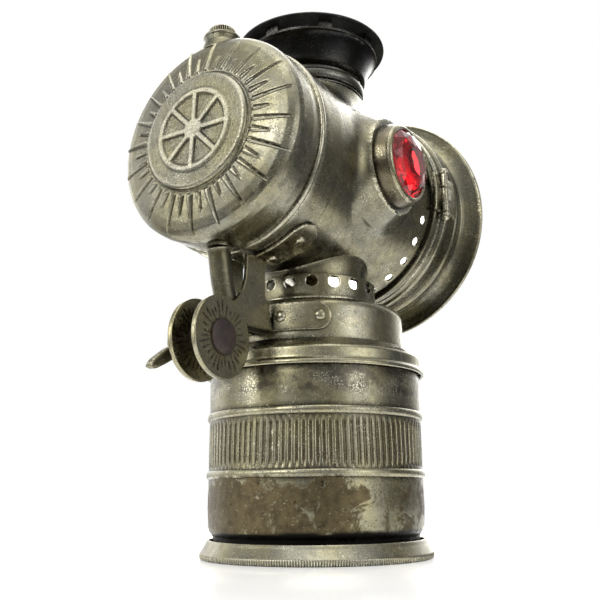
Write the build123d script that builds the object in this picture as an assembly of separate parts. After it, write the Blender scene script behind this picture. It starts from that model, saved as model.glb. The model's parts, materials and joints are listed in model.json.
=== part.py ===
from build123d import *
import math
import os

# Acetylene bicycle lamp, in millimetres.  The origin is the centre of the flat
# underside of the base cap.  +Z is up, -Y is where the light goes, and the
# hinge of the door and the red jewel are on the -X side.

# ---- driving dimensions -----------------------------------------------------
SHEET = 0.7            # thickness of the spun and pressed brass
HEAD_Z = 113.0         # height of the barrel's axis
RUN = 0.05             # radial clearance of a pin or screw in its hole
GAP = 0.15             # clearance between a moving piece and a fixed one

# generator: base cap, can, collar and dome
BASE_R = 34.2          # knurled edge
BASE_H = 5.3
CAN_R = 31.9
CAN_BOTTOM_Z = 2.7
CAN_TOP_Z = 56.0
BEAD_R = 32.5
BEAD_Z = (23.4, 40.0)
COLLAR_LIP_R = 33.4
COLLAR_Z = 52.2
SHOULDER_Z = 57.2
DOME_R = 27.4
DOME_Z = 60.3
DOME_TOP_Z = 73.4
CUP_R = 29.4           # carbide cup inside the can
CUP_TOP_Z = 38.0
GALLERY_R = 19.4
GALLERY_TOP_Z = 81.2
GALLERY_HOLE_Z = 79.0
GALLERY_HOLES = 18
NECK_R = 16.7

# lamp head
BARREL_REAR_Y = 29.4
BARREL_FRONT_Y = -20.5
BARREL_REAR_R = 29.6
BARREL_FRONT_R = 33.2
VENTS = 28
VENT_Y = -17.6
VENT_R = 1.5
VENT_PHASE = 0.61      # of one pitch, from the bottom
CHIMNEY_NECK_R = 16.6
NECK_FILLET = 1.6
CHIMNEY_Z = 145.1      # top of the neck drawn up from the barrel
JEWEL_Y = 4.7
JEWEL_R = 10.5
JEWEL_X = 36.6         # rim of the boss that holds a jewel
CHIMNEY_SLOTS = 8
CHIMNEY_SLOT_DEGREES = 34

# water tank behind the barrel
TANK_BAND_R = 30.1
TANK_R = 29.7
SEAM_Y = 41.6
TANK_SHOULDER_Y = 55.2
TANK_BACK_Y = 58.0
MEDAL_R = 16.2
MEDAL_Y = 59.6

# water and gas ways
VALVE_Y = 47.0
NEEDLE_R = 1.2
SEAT_R = 3.2
GLAND_TOP_Z = 145.2
TANK_BOTTOM_Z = HEAD_Z - TANK_R - 0.6
TUBE_R = 2.85
TUBE_Z = 65.2          # where the water tube enters the dome
DRIP_Y = 17.0          # where it turns down over the carbide
GAS_R = 2.4

# door at the front
RING_FRONT_Y = -24.35
RING_R = 34.6
SEAT_SLEEVE_R = 33.85  # sleeve of the fixed ring that the door closes over
SEAT_SLEEVE_Y = -27.0
DOOR_R = 35.3
DOOR_Y = -24.5
DOOR_RIDGE_Y = -28.0
DOOR_RIDGE_R = 35.95
DOOR_WAIST_Y = -40.4
DOOR_WAIST_R = 34.6
FLANGE_R = 41.1
FLANGE_Y = -44.2
LENS_R = 33.4
HINGE_X = -35.9
HINGE_Y = -24.4
KNUCKLE_R = 1.3
PIN_R = 0.7
LEAF_H = 12.5

# cycle bracket
EAR_R = 11.0
EAR_Y = 49.9
EAR_Z = 57.3
PLATE_IN = 3.2         # inner face of each plate, from the middle plane
PLATE_OUT = 4.6
STRAP_T = 0.9
STRAP_LOW_Z = 62.3
STRAP_TOP_Z = 70.3
STRAP_END_X = 19.3
STRAP_RIVETS = (-36.5, -13.5, 13.5, 36.5)   # in degrees from +Y round the dome
CRADLE_END_X = 20.0
CRADLE_RIVETS_X = (-15.6, -6.0, 6.0, 15.6)
BOLT_R = 2.5
WASHER_IN = PLATE_OUT + GAP
NUT_IN = WASHER_IN + 1.0 + GAP
WING_TILT = 26.0       # of the wings from the horizontal, in degrees

HEAD_AXIS = Axis((0, 0, HEAD_Z), (0, 1, 0))
PARTS = {}


# ---- helpers ----------------------------------------------------------------
def sheet_outline(path, thickness):
    """Closed outline of a sheet whose outer side is path and whose inner side
    lies to the right of the path's direction."""
    inner = []
    for i, (u, v) in enumerate(path):
        normals = []
        for a, b in ((i - 1, i), (i, i + 1)):
            if a < 0 or b >= len(path):
                continue
            du = path[b][0] - path[a][0]
            dv = path[b][1] - path[a][1]
            length = math.hypot(du, dv)
            normals.append((dv / length, -du / length))
        first, last = normals[0], normals[-1]
        spread = 1 + first[0] * last[0] + first[1] * last[1]
        reach = 2 * thickness / spread if len(normals) == 2 else thickness
        inner.append((u + reach * (first[0] + last[0]) / 2, v + reach * (first[1] + last[1]) / 2))
    return list(path) + inner[::-1]


def turned_z(outline):
    """Solid of revolution about the lamp's upright axis from (z, r) points."""
    points = [(r, 0, z) for z, r in outline]
    return revolve(make_face(Polyline(*points, close=True)), Axis.Z)


def turned_y(outline):
    """Solid of revolution about the barrel's axis from (y, r) points."""
    points = [(0, y, HEAD_Z + r) for y, r in outline]
    return revolve(make_face(Polyline(*points, close=True)), HEAD_AXIS)


def ring_z(r_out, r_in, z_low, z_high):
    """Plain ring or disc about the upright axis."""
    return turned_z([(z_low, r_in), (z_low, r_out), (z_high, r_out), (z_high, r_in)])


def ring_y(r_out, r_in, y_front, y_rear):
    """Plain ring or disc about the barrel's axis."""
    return turned_y([(y_front, r_in), (y_front, r_out), (y_rear, r_out), (y_rear, r_in)])


def rod(radius, start, end):
    """Round bar between two points."""
    start = Vector(*start)
    end = Vector(*end)
    step = end - start
    bar = Solid.make_cylinder(radius, step.length, Plane(origin=start, z_dir=step))
    return Part() + bar


def block(low, high):
    """Box between two corners."""
    size = [b - a for a, b in zip(low, high)]
    middle = [(a + b) / 2 for a, b in zip(low, high)]
    return Pos(*middle) * Box(*size)


def bead(along, radius, height, width):
    """Points of a half-round bead on a straight wall, for a (along, r) path."""
    turns = (180, 135, 90, 45, 0)
    return [(along + width / 2 * math.cos(math.radians(a)),
             radius + height * math.sin(math.radians(a))) for a in turns]


def dome_head(radius, height, place, normal):
    """Shallow domed rivet head standing on a point."""
    ball_r = (radius ** 2 + height ** 2) / (2 * height)
    half_way = math.asin(radius / ball_r) / 2
    shoulder = (ball_r * math.sin(half_way), 0, height - ball_r + ball_r * math.cos(half_way))
    rim = (radius, 0, 0)
    crown = (0, 0, height)
    edges = [ThreePointArc(rim, shoulder, crown), Line(crown, (0, 0, 0)), Line((0, 0, 0), rim)]
    head = revolve(make_face(Wire(edges)), Axis.Z)
    return Plane(origin=Vector(*place), z_dir=Vector(*normal)).location * head


def mirrored(shape):
    return mirror(shape, Plane.YZ)


def save(name, shape):
    PARTS[name] = shape


# ---- generator --------------------------------------------------------------
def make_base():
    cap = turned_z([(0, 0), (0, BASE_R), (1.6, BASE_R), (2.3, 33.0), (3.4, 32.5), (BASE_H, 32.2),
                    (BASE_H, 31.95), (1.6, 31.95), (1.6, 0)])
    save("base_cap", cap)
    save("base_gasket", ring_z(31.4, 28.6, 1.65, CAN_BOTTOM_Z - 0.05))


def make_can():
    path = [(CAN_BOTTOM_Z, 31.3), (8.0, CAN_R)]
    for z in BEAD_Z:
        path += bead(z, CAN_R, BEAD_R - CAN_R, 2.4)
    path += [(50.0, CAN_R), (51.0, 31.8), (CAN_TOP_Z, 31.8)]
    save("carbide_can", turned_z(sheet_outline(path, SHEET)))


def make_generator_insides():
    outside = [(3.0, 0), (3.0, CUP_R), (CUP_TOP_Z, CUP_R)]
    inside = [(CUP_TOP_Z, CUP_R - 0.6), (3.6, CUP_R - 0.6), (3.6, 0)]
    save("carbide_cup", turned_z(outside + inside))
    grid = ring_z(26.4, 0, 56.3, 57.0)
    for ring_r, count in ((8, 8), (14, 14)):
        for i in range(count):
            turn = math.radians(360 * (i + 0.5) / count)
            x = ring_r * math.cos(turn)
            y = ring_r * math.sin(turn)
            grid -= rod(1.1, (x, y, 56), (x, y, 58))
    drip = rod(3.0, (0, DRIP_Y, 55), (0, DRIP_Y, 61))
    save("gas_grid", grid - drip)
    save("filter_pad", ring_z(26.2, 0, 57.0, 60.0) - drip)


def make_collar():
    path = [(COLLAR_Z, COLLAR_LIP_R), (53.8, 32.7), (SHOULDER_Z, 32.55), (58.0, 32.0), (DOME_Z, DOME_R + SHEET)]
    outline = path + [(DOME_Z, 26.5), (59.6, 26.5), (57.3, 31.0), (56.6, 31.85), (COLLAR_Z, 31.95)]
    save("generator_collar", turned_z(outline))


def make_dome():
    outer = [(DOME_Z, DOME_R), (69.6, DOME_R), (71.2, 26.9), (72.3, 25.6), (DOME_TOP_Z - 0.4, 23.0),
             (DOME_TOP_Z, GALLERY_R - SHEET), (DOME_TOP_Z, GAS_R)]
    inner = [(DOME_TOP_Z - SHEET, GAS_R), (DOME_TOP_Z - SHEET, 20.0), (71.6, 25.1), (70.8, 26.1),
             (69.5, DOME_R - SHEET), (DOME_Z, DOME_R - SHEET)]
    save("generator_dome", turned_z(outer + inner) - rod(TUBE_R + RUN, (0, 15, TUBE_Z), (0, 35, TUBE_Z)))


def make_gallery():
    outer = [(DOME_TOP_Z, GALLERY_R), (GALLERY_TOP_Z - 0.8, GALLERY_R), (GALLERY_TOP_Z, GALLERY_R - 0.8),
             (GALLERY_TOP_Z, NECK_R)]
    inner = [(GALLERY_TOP_Z - SHEET, NECK_R), (GALLERY_TOP_Z - SHEET, GALLERY_R - 1.1),
             (GALLERY_TOP_Z - 1.1, GALLERY_R - SHEET), (DOME_TOP_Z, GALLERY_R - SHEET)]
    ring = turned_z(outer + inner)
    for i in range(GALLERY_HOLES):
        turn = math.radians(360 * i / GALLERY_HOLES)
        tip = (25 * math.cos(turn), 25 * math.sin(turn), GALLERY_HOLE_Z)
        ring -= rod(1.65, (0, 0, GALLERY_HOLE_Z), tip)
    save("gallery_ring", ring - barrel_solid(0))
    neck = ring_z(NECK_R, NECK_R - SHEET, GALLERY_TOP_Z - SHEET, HEAD_Z - 20)
    save("neck_saddle", neck - barrel_solid(0))


# ---- water and gas ways -----------------------------------------------------
def make_tubes():
    route = FilletPolyline((0, VALVE_Y + 0.2, TANK_BOTTOM_Z + 1), (0, 44.6, 71.5), (0, 38.0, TUBE_Z),
                           (0, DRIP_Y, TUBE_Z), (0, DRIP_Y, 50.0), radius=4.5)
    start = Plane(origin=route @ 0, z_dir=route % 0)
    pipe = sweep(start * Circle(TUBE_R), route) - sweep(start * Circle(TUBE_R - SHEET), route)
    save("water_tube", pipe - block((-5, 40, TANK_BOTTOM_Z), (5, 55, TANK_BOTTOM_Z + 5)))
    save("gas_tube", ring_z(GAS_R, GAS_R - SHEET, 64.0, 98.0))
    hub = ring_z(3.4, 0, 98.0, 101.5)
    arms = block((-8.5, -1.8, 101.5), (8.5, 1.8, 104.5))
    save("burner_body", hub + arms)
    tips = Part()
    for side in (-1, 1):
        tips += rod(1.5, (side * 6.9, 0, 104.5), (side * 6.9, 0, 107.0))
        tips += rod(1.5, (side * 6.9, 0, 107.0), (side * 4.2, 0, 110.5))
    save("burner_tips", tips & block((-12, -5, 104.5), (12, 5, 120)))


# ---- lamp head --------------------------------------------------------------
def barrel_curve(inset):
    """Radius of the barrel from rear to front, as (y, r) points of a spline."""
    grow = BARREL_FRONT_R - BARREL_REAR_R
    span = BARREL_REAR_Y - BARREL_FRONT_Y
    stations = (0.0, 0.3, 0.55, 0.75, 0.9, 1.0)
    return [(BARREL_REAR_Y - span * s, BARREL_REAR_R + grow * s ** 3.2 - inset) for s in stations]


def barrel_solid(inset):
    """Solid of the barrel's curve, without neck or bosses, inset by the given amount."""
    points = [Vector(0, y, HEAD_Z + r) for y, r in barrel_curve(inset)]
    front = Vector(0, BARREL_FRONT_Y, HEAD_Z)
    rear = Vector(0, BARREL_REAR_Y, HEAD_Z)
    edges = [Spline(*points), Line(points[-1], front), Line(front, rear), Line(rear, points[0])]
    return revolve(make_face(Wire(edges)), HEAD_AXIS)


def jewel_boss(inset):
    """Pressed cup on the -X side that carries the red jewel."""
    base = rod(14.6 - inset, (-12, JEWEL_Y, HEAD_Z), (-31.2 + inset, JEWEL_Y, HEAD_Z))
    cone = Solid.make_cone(14.2 - inset, 11.6 - inset, 5.4,
                           Plane(origin=(-31.2 + inset, JEWEL_Y, HEAD_Z), z_dir=(-1, 0, 0)))
    return base + (Part() + cone)


def make_barrel():
    neck_out = rod(CHIMNEY_NECK_R, (0, 0, HEAD_Z), (0, 0, CHIMNEY_Z))
    body = barrel_solid(0) + neck_out
    seam = [e for e in body.edges() if e.geom_type != GeomType.CIRCLE and e.center().Z > HEAD_Z + 20]
    body = fillet(seam, NECK_FILLET)
    for boss in (jewel_boss(0), mirrored(jewel_boss(0))):
        body += boss
    hollow = barrel_solid(SHEET)
    hollow += rod(CHIMNEY_NECK_R - SHEET, (0, 0, HEAD_Z), (0, 0, CHIMNEY_Z + 1))
    hollow += rod(NECK_R - SHEET, (0, 0, HEAD_Z), (0, 0, HEAD_Z - 60))
    for boss in (jewel_boss(SHEET), mirrored(jewel_boss(SHEET))):
        hollow += boss
    hollow += rod(JEWEL_R + RUN, (-60, JEWEL_Y, HEAD_Z), (60, JEWEL_Y, HEAD_Z))
    body -= hollow
    drills = []
    for i in range(VENTS):
        turn = math.radians(360 * (i + VENT_PHASE) / VENTS)
        start = (-20 * math.sin(turn), VENT_Y, HEAD_Z - 20 * math.cos(turn))
        tip = (-45 * math.sin(turn), VENT_Y, HEAD_Z - 45 * math.cos(turn))
        drills.append(rod(VENT_R, start, tip))
    save("barrel", body - drills)


def make_jewels():
    rim = JEWEL_X
    face = Plane(origin=(-rim, JEWEL_Y, HEAD_Z), z_dir=(-1, 0, 0))
    crown = Solid.make_cone(JEWEL_R, 5.0, 2.9, face)
    girdle = rod(JEWEL_R, (-rim + 2.4, JEWEL_Y, HEAD_Z), (-rim, JEWEL_Y, HEAD_Z))
    stone = girdle + (Part() + crown)
    save("jewel_red", stone)
    save("jewel_green", mirrored(stone))
    ring = rod(11.5, (-rim, JEWEL_Y, HEAD_Z), (-rim - 1.0, JEWEL_Y, HEAD_Z))
    opening = Solid.make_cone(JEWEL_R + 0.02, 8.5, 1.06, face)
    ring -= Part() + opening
    save("bezel_red", ring)
    save("bezel_green", mirrored(ring))


def make_reflector():
    focus = 24.0
    vertex_y = 25.5
    radii = (2.5, 9, 16, 22, 27.8)
    outer = [(vertex_y - r * r / (4 * focus) + 0.6, r) for r in radii]
    inner = [(vertex_y - r * r / (4 * focus), r) for r in radii]
    save("reflector", turned_y(outer + inner[::-1]))


# ---- water tank -------------------------------------------------------------
def make_tank():
    front = [(BARREL_REAR_Y, 0), (BARREL_REAR_Y, TANK_BAND_R), (SEAM_Y - 2.0, TANK_BAND_R),
             (SEAM_Y - 2.0, TANK_BAND_R - SHEET), (BARREL_REAR_Y + SHEET, TANK_BAND_R - SHEET),
             (BARREL_REAR_Y + SHEET, 0)]
    save("tank_front", turned_y(front))
    save("tank_seam_ring", turned_y([(SEAM_Y - 2.0, 29.0), (SEAM_Y - 2.0, 30.3), (SEAM_Y - 1.5, 30.6),
                                     (SEAM_Y - 0.5, 30.6), (SEAM_Y, 30.3), (SEAM_Y, 29.0)]))
    outer = [(SEAM_Y, TANK_R), (TANK_SHOULDER_Y, TANK_R), (56.6, 29.1), (57.6, 27.6), (TANK_BACK_Y, 25.5),
             (TANK_BACK_Y, MEDAL_R + 0.8), (MEDAL_Y - 0.6, MEDAL_R), (MEDAL_Y, MEDAL_R - 0.6), (MEDAL_Y, 0)]
    inner = [(MEDAL_Y - SHEET, 0), (MEDAL_Y - SHEET, MEDAL_R - 0.9), (TANK_BACK_Y - SHEET, MEDAL_R + 0.4),
             (TANK_BACK_Y - SHEET, 25.2), (56.9, 27.1), (56.0, 28.5), (TANK_SHOULDER_Y, TANK_R - SHEET),
             (SEAM_Y, TANK_R - SHEET)]
    shell = turned_y(outer + inner)
    shell -= rod(NEEDLE_R + 0.3, (0, VALVE_Y, HEAD_Z), (0, VALVE_Y, HEAD_Z + 40))
    shell -= rod(SEAT_R, (0, VALVE_Y, HEAD_Z), (0, VALVE_Y, HEAD_Z - 40))
    save("tank_back", shell)


def make_valve():
    drum = rod(TANK_R, (0, SEAM_Y, HEAD_Z), (0, TANK_BACK_Y, HEAD_Z))
    gland = rod(4.4, (0, VALVE_Y, HEAD_Z + 20), (0, VALVE_Y, GLAND_TOP_Z)) - drum
    gland -= rod(NEEDLE_R + RUN, (0, VALVE_Y, HEAD_Z), (0, VALVE_Y, GLAND_TOP_Z + 1))
    save("valve_gland", gland)
    seat_low = TANK_BOTTOM_Z
    seat = rod(SEAT_R - 0.02, (0, VALVE_Y, seat_low), (0, VALVE_Y, 88.0))
    seat -= rod(0.8, (0, VALVE_Y, seat_low - 1), (0, VALVE_Y, 89.0))
    save("valve_seat", seat)
    needle = rod(NEEDLE_R, (0, VALVE_Y, 90.0), (0, VALVE_Y, 147.0))
    tip = Solid.make_cone(0.4, NEEDLE_R, 1.9, Plane(origin=(0, VALVE_Y, 88.1), z_dir=(0, 0, 1)))
    save("valve_needle", needle + (Part() + tip))
    knob_low = GLAND_TOP_Z + GAP
    knob = rod(5.5, (0, VALVE_Y, knob_low), (0, VALVE_Y, 148.6))
    knob += Part() + Solid.make_cone(5.5, 4.6, 0.7, Plane(origin=(0, VALVE_Y, 148.6), z_dir=(0, 0, 1)))
    knob -= rod(NEEDLE_R + RUN, (0, VALVE_Y, knob_low - 1), (0, VALVE_Y, 147.0 + RUN))
    save("valve_knob", knob)


# ---- chimney ----------------------------------------------------------------
def make_chimney():
    base = [(CHIMNEY_Z, 17.3), (146.6, 17.3), (147.4, 17.9), (149.4, 17.9), (150.2, 17.2), (151.0, 17.2),
            (151.0, 16.2), (CHIMNEY_Z, 15.9)]
    save("chimney_base", turned_z(base) - barrel_solid(0))
    outer = [(151.0, 17.2), (152.0, 18.0), (154.5, 20.0), (157.5, 22.0), (160.3, 22.6)]
    inner = [(160.3, 21.9), (157.6, 21.3), (154.7, 19.3), (152.0, 17.0), (151.0, 16.2)]
    save("chimney_bowl", turned_z(outer + inner))
    cage = ring_z(22.5, 21.9, 160.3, 163.4)
    for i in range(CHIMNEY_SLOTS):
        middle = math.radians(360 * (i + 0.5) / CHIMNEY_SLOTS)
        half = math.radians(CHIMNEY_SLOT_DEGREES / 2)
        wedge = [(0, 0)]
        for turn in (middle - half, middle, middle + half):
            wedge.append((30 * math.cos(turn), 30 * math.sin(turn)))
        cage -= extrude(Pos(0, 0, 160.8) * make_face(Polyline(*wedge, close=True)), 2.2)
    save("chimney_cage", cage)
    top = [(163.4, 0), (163.4, 24.6), (163.7, 25.0), (164.1, 25.0), (164.4, 24.4), (164.9, 12.0), (165.1, 0)]
    save("chimney_cap", turned_z(top))


# ---- front ring, door and hinge ---------------------------------------------
def hinge_notch():
    """Space cut out of both rings for the hinge knuckles."""
    half = LEAF_H / 2 + 0.2
    return block((-60, HINGE_Y - 1.6, HEAD_Z - half), (HINGE_X + 1.6, HINGE_Y + 1.6, HEAD_Z + half))


def make_front_ring():
    outer = [(BARREL_FRONT_Y, 33.15), (-20.8, 34.3), (-21.4, 35.0), (-22.0, 35.2), (-22.6, 35.0),
             (-23.2, RING_R), (RING_FRONT_Y, RING_R), (RING_FRONT_Y, SEAT_SLEEVE_R),
             (SEAT_SLEEVE_Y, SEAT_SLEEVE_R)]
    inner = [(SEAT_SLEEVE_Y, SEAT_SLEEVE_R - SHEET), (-21.5, SEAT_SLEEVE_R - SHEET), (BARREL_FRONT_Y, 32.5)]
    save("front_ring", turned_y(outer + inner) - hinge_notch())


def door_path():
    return [(DOOR_Y, 34.9), (-27.2, 35.1), (DOOR_RIDGE_Y, DOOR_RIDGE_R), (-28.8, DOOR_R), (-34.0, DOOR_R),
            (DOOR_WAIST_Y, DOOR_WAIST_R)]


def door_outside():
    """Solid whose surface is the outside of the door's band."""
    return turned_y([(DOOR_Y, 0)] + door_path() + [(DOOR_WAIST_Y, 0)])


def make_door():
    outer = door_path() + [(-41.6, 35.4), (-43.5, 40.3), (FLANGE_Y + 0.2, FLANGE_R), (FLANGE_Y - 0.6, FLANGE_R),
                           (FLANGE_Y - 0.8, 40.4)]
    inner = [(-42.4, 34.9), (DOOR_WAIST_Y - 0.3, 33.9), (-33.8, DOOR_R - SHEET), (-28.8, DOOR_R - SHEET),
             (DOOR_Y, 34.2)]
    save("door_hood", turned_y(outer + inner) - hinge_notch())
    save("lens_seat", ring_y(33.85, 32.0, -39.4, -38.6))
    lens = turned_y([(-38.6, 0), (-38.6, LENS_R), (-36.0, LENS_R), (-34.4, 20.0), (-33.8, 0)])
    save("door_lens", lens)
    wire = revolve(Pos(0, -35.15, HEAD_Z + 33.5) * (Plane.YZ * Circle(0.8)), HEAD_AXIS)
    save("lens_retainer", wire)


def leaf_sector(r_out, r_in, y_front, y_rear, height):
    """Piece of a ring on the -X side, of the given height along Z."""
    window = block((-60, y_front - 1, HEAD_Z - height / 2), (0, y_rear + 1, HEAD_Z + height / 2))
    return ring_y(r_out, r_in, y_front, y_rear) & window


def knuckle(z_low, z_high):
    return rod(KNUCKLE_R, (HINGE_X, HINGE_Y, z_low), (HINGE_X, HINGE_Y, z_high))


def make_hinge():
    low = HEAD_Z - LEAF_H / 2
    high = HEAD_Z + LEAF_H / 2
    split = 2.0
    outer_x = HINGE_X - 0.9
    inner_x = HINGE_X + 0.2
    bore = rod(PIN_R + RUN, (HINGE_X, HINGE_Y, low - 5), (HINGE_X, HINGE_Y, high + 5))
    leaf = leaf_sector(36.3, 35.25, HINGE_Y + 1.7, BARREL_FRONT_Y - 0.1, LEAF_H)
    for z_low, z_high in ((low, HEAD_Z - split - GAP), (HEAD_Z + split + GAP, high)):
        leaf += knuckle(z_low, z_high)
        leaf += block((outer_x, HINGE_Y, z_low), (inner_x, HINGE_Y + 2.2, z_high))
    save("hinge_leaf_fixed", leaf - bore)
    leaf = leaf_sector(36.4, 34.0, -33.5, HINGE_Y - 1.8, LEAF_H) - door_outside()
    leaf += knuckle(HEAD_Z - split, HEAD_Z + split)
    leaf += block((outer_x, HINGE_Y - 3.0, HEAD_Z - split), (inner_x, HINGE_Y, HEAD_Z + split))
    save("hinge_leaf_door", leaf - bore - (door_outside() - hinge_notch()))
    pin = rod(PIN_R, (HINGE_X, HINGE_Y, low - 1), (HINGE_X, HINGE_Y, high + 1))
    for z in (low - 1.2, high + 1.2):
        pin += Pos(HINGE_X, HINGE_Y, z) * Sphere(1.15)
    save("hinge_pin", pin)


def make_catch():
    window = block((0, -34, HEAD_Z - 4), (60, -20, HEAD_Z + 4))
    tongue = ring_y(36.75, 36.05, -33.0, -21.5) & window
    foot = ring_y(36.1, 34.0, -33.0, -29.0) & window
    save("door_catch", tongue + (foot - door_outside()))


# ---- cycle bracket ----------------------------------------------------------
def make_bracket():
    plate = Plane.YZ * (Pos(35.25, 72.5) * Rectangle(9.5, 20.4))
    bridge = [(36.0, STRAP_LOW_Z), (40.0, 74.0), (45.5, 67.4), (49.9, 60.0), (40.0, 57.5)]
    bridge_face = make_face(Polyline(*[(0, y, z) for y, z in bridge], close=True))
    ear = Plane.YZ * (Pos(EAR_Y, EAR_Z) * Circle(EAR_R))
    thickness = PLATE_OUT - PLATE_IN
    side = extrude(plate, thickness, dir=(1, 0, 0)) + extrude(bridge_face, thickness, dir=(1, 0, 0))
    side += extrude(ear, thickness, dir=(1, 0, 0))
    side = Pos(PLATE_IN, 0, 0) * side
    side += block((PLATE_IN, 26.0, STRAP_LOW_Z), (PLATE_OUT, 31.0, STRAP_TOP_Z))
    strap = ring_z(DOME_R + RUN + STRAP_T, DOME_R + RUN, STRAP_LOW_Z, STRAP_TOP_Z)
    side += strap & block((PLATE_IN, 10, 62), (STRAP_END_X, 30, 71))
    cradle = ring_y(TANK_BAND_R + 1.0, TANK_BAND_R + RUN, 25.5, 36.0)
    side += cradle & block((PLATE_IN, 25, 80), (CRADLE_END_X, 37, HEAD_Z))
    side -= rod(TANK_BAND_R + RUN, (0, 20, HEAD_Z), (0, 60, HEAD_Z))
    side -= rod(DOME_R + RUN, (0, 0, 61), (0, 0, 72))
    side -= rod(BOLT_R + RUN, (-20, EAR_Y, EAR_Z), (20, EAR_Y, EAR_Z))
    save("bracket_left", side)
    save("bracket_right", mirrored(side))


def make_rivets():
    heads = Part()
    r = DOME_R + RUN + STRAP_T
    for degrees in STRAP_RIVETS:
        turn = math.radians(degrees)
        normal = (math.sin(turn), math.cos(turn), 0)
        heads += dome_head(1.6, 0.9, (r * normal[0], r * normal[1], 66.4), normal)
    save("strap_rivets", heads)
    heads = Part()
    r = TANK_BAND_R + 1.0
    for x in CRADLE_RIVETS_X:
        turn = math.asin(x / r)
        normal = (math.sin(turn), 0, -math.cos(turn))
        heads += dome_head(1.5, 0.8, (r * normal[0], 30.6, HEAD_Z + r * normal[2]), normal)
    save("cradle_rivets", heads)


def make_clamp():
    bolt = rod(BOLT_R, (-PLATE_OUT, EAR_Y, EAR_Z), (16.0, EAR_Y, EAR_Z))
    bolt += rod(5.0, (-PLATE_OUT - 1.6, EAR_Y, EAR_Z), (-PLATE_OUT, EAR_Y, EAR_Z))
    save("clamp_bolt", bolt)
    bore = rod(BOLT_R + RUN, (0, EAR_Y, EAR_Z), (30, EAR_Y, EAR_Z))
    washer = rod(5.2, (WASHER_IN, EAR_Y, EAR_Z), (WASHER_IN + 1.0, EAR_Y, EAR_Z))
    save("clamp_washer", washer - bore)
    hub = rod(4.4, (NUT_IN, EAR_Y, EAR_Z), (NUT_IN + 6.0, EAR_Y, EAR_Z))
    wing = extrude(Plane.YZ * (Pos(0, 0) * SlotOverall(32.0, 5.0)), 3.0, dir=(1, 0, 0))
    wing = Pos(NUT_IN + 2.6, EAR_Y, EAR_Z) * (Rot(-WING_TILT, 0, 0) * wing)
    save("wing_nut", hub + wing - bore)


make_base()
make_can()
make_generator_insides()
make_collar()
make_dome()
make_gallery()
make_tubes()
make_barrel()
make_jewels()
make_reflector()
make_tank()
make_valve()
make_chimney()
make_front_ring()
make_door()
make_hinge()
make_catch()
make_bracket()
make_rivets()
make_clamp()

os.makedirs("parts", exist_ok=True)
for node, shape in PARTS.items():
    export_step(shape, f"parts/{node}.step")
print(len(PARTS), "nodes written")
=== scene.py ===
import json
import math

import bmesh
import bpy
import numpy as np
from mathutils import Matrix, Vector


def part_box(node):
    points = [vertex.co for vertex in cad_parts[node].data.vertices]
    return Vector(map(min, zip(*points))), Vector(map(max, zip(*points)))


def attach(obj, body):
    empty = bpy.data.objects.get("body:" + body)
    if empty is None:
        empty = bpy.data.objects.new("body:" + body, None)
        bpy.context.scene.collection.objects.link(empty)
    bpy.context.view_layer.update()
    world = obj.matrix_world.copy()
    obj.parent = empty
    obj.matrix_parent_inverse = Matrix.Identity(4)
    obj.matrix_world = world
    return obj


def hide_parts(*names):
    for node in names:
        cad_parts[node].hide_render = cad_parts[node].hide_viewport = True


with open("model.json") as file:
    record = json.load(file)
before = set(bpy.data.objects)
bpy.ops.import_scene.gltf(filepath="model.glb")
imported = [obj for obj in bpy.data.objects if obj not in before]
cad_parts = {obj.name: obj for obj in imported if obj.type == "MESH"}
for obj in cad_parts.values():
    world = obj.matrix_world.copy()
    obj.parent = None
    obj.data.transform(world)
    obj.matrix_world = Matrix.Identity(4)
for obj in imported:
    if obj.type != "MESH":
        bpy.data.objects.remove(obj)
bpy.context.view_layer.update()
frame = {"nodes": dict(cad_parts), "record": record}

# Lengths in this script are millimetres until a mesh is made; MM turns them into metres.
MM = 0.001
TAU = 2 * math.pi


def span(node):
    """Lowest and highest corner of a CAD node, in millimetres."""
    low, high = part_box(node)
    return np.array(low) / MM, np.array(high) / MM


# ---- places read from the frame ---------------------------------------------
SHEET = 0.7
JEWEL_RIM = 36.6
VENTS = 28
GALLERY_HOLES = 18
FLUTES = 100
RAYS = 40
MEDAL_R = 16.9
WHEEL_R = 12.2
NECK_FILLET = 8.5
BOSS_R = 14.6
BOSS_OUT = 32.6
BOSS_FILLET = 3.2
BASE_HIGH = span("base_cap")[1]
CAN_LOW, CAN_HIGH = span("carbide_can")
COLLAR_LOW, COLLAR_HIGH = span("generator_collar")
DOME_LOW, DOME_HIGH = span("generator_dome")
GALLERY_LOW, GALLERY_HIGH = span("gallery_ring")
TANK_LOW, TANK_HIGH = span("tank_back")
BAND_LOW, BAND_HIGH = span("tank_front")
SEAM_LOW, SEAM_HIGH = span("tank_seam_ring")
BARREL_LOW, BARREL_HIGH = span("barrel")
RING_LOW, RING_HIGH = span("front_ring")
DOOR_HIGH = span("door_hood")[1]
LENS_LOW, LENS_HIGH = span("door_lens")
KNOB_LOW, KNOB_HIGH = span("valve_knob")
BOLT_LOW, BOLT_HIGH = span("clamp_bolt")
EAR_LOW, EAR_HIGH = span("bracket_left")
JEWEL_LOW, JEWEL_HIGH = span("jewel_red")
CAP_LOW, CAP_HIGH = span("chimney_cap")
BOWL_LOW, BOWL_HIGH = span("chimney_bowl")
CAGE_LOW, CAGE_HIGH = span("chimney_cage")
NECK_LOW, NECK_HIGH = span("chimney_base")
PIN_LOW, PIN_HIGH = span("hinge_pin")
LEAF_LOW, LEAF_HIGH = span("hinge_leaf_fixed")
NUT_LOW, NUT_HIGH = span("wing_nut")
WASHER_LOW, WASHER_HIGH = span("clamp_washer")
CATCH_LOW, CATCH_HIGH = span("door_catch")

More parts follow.
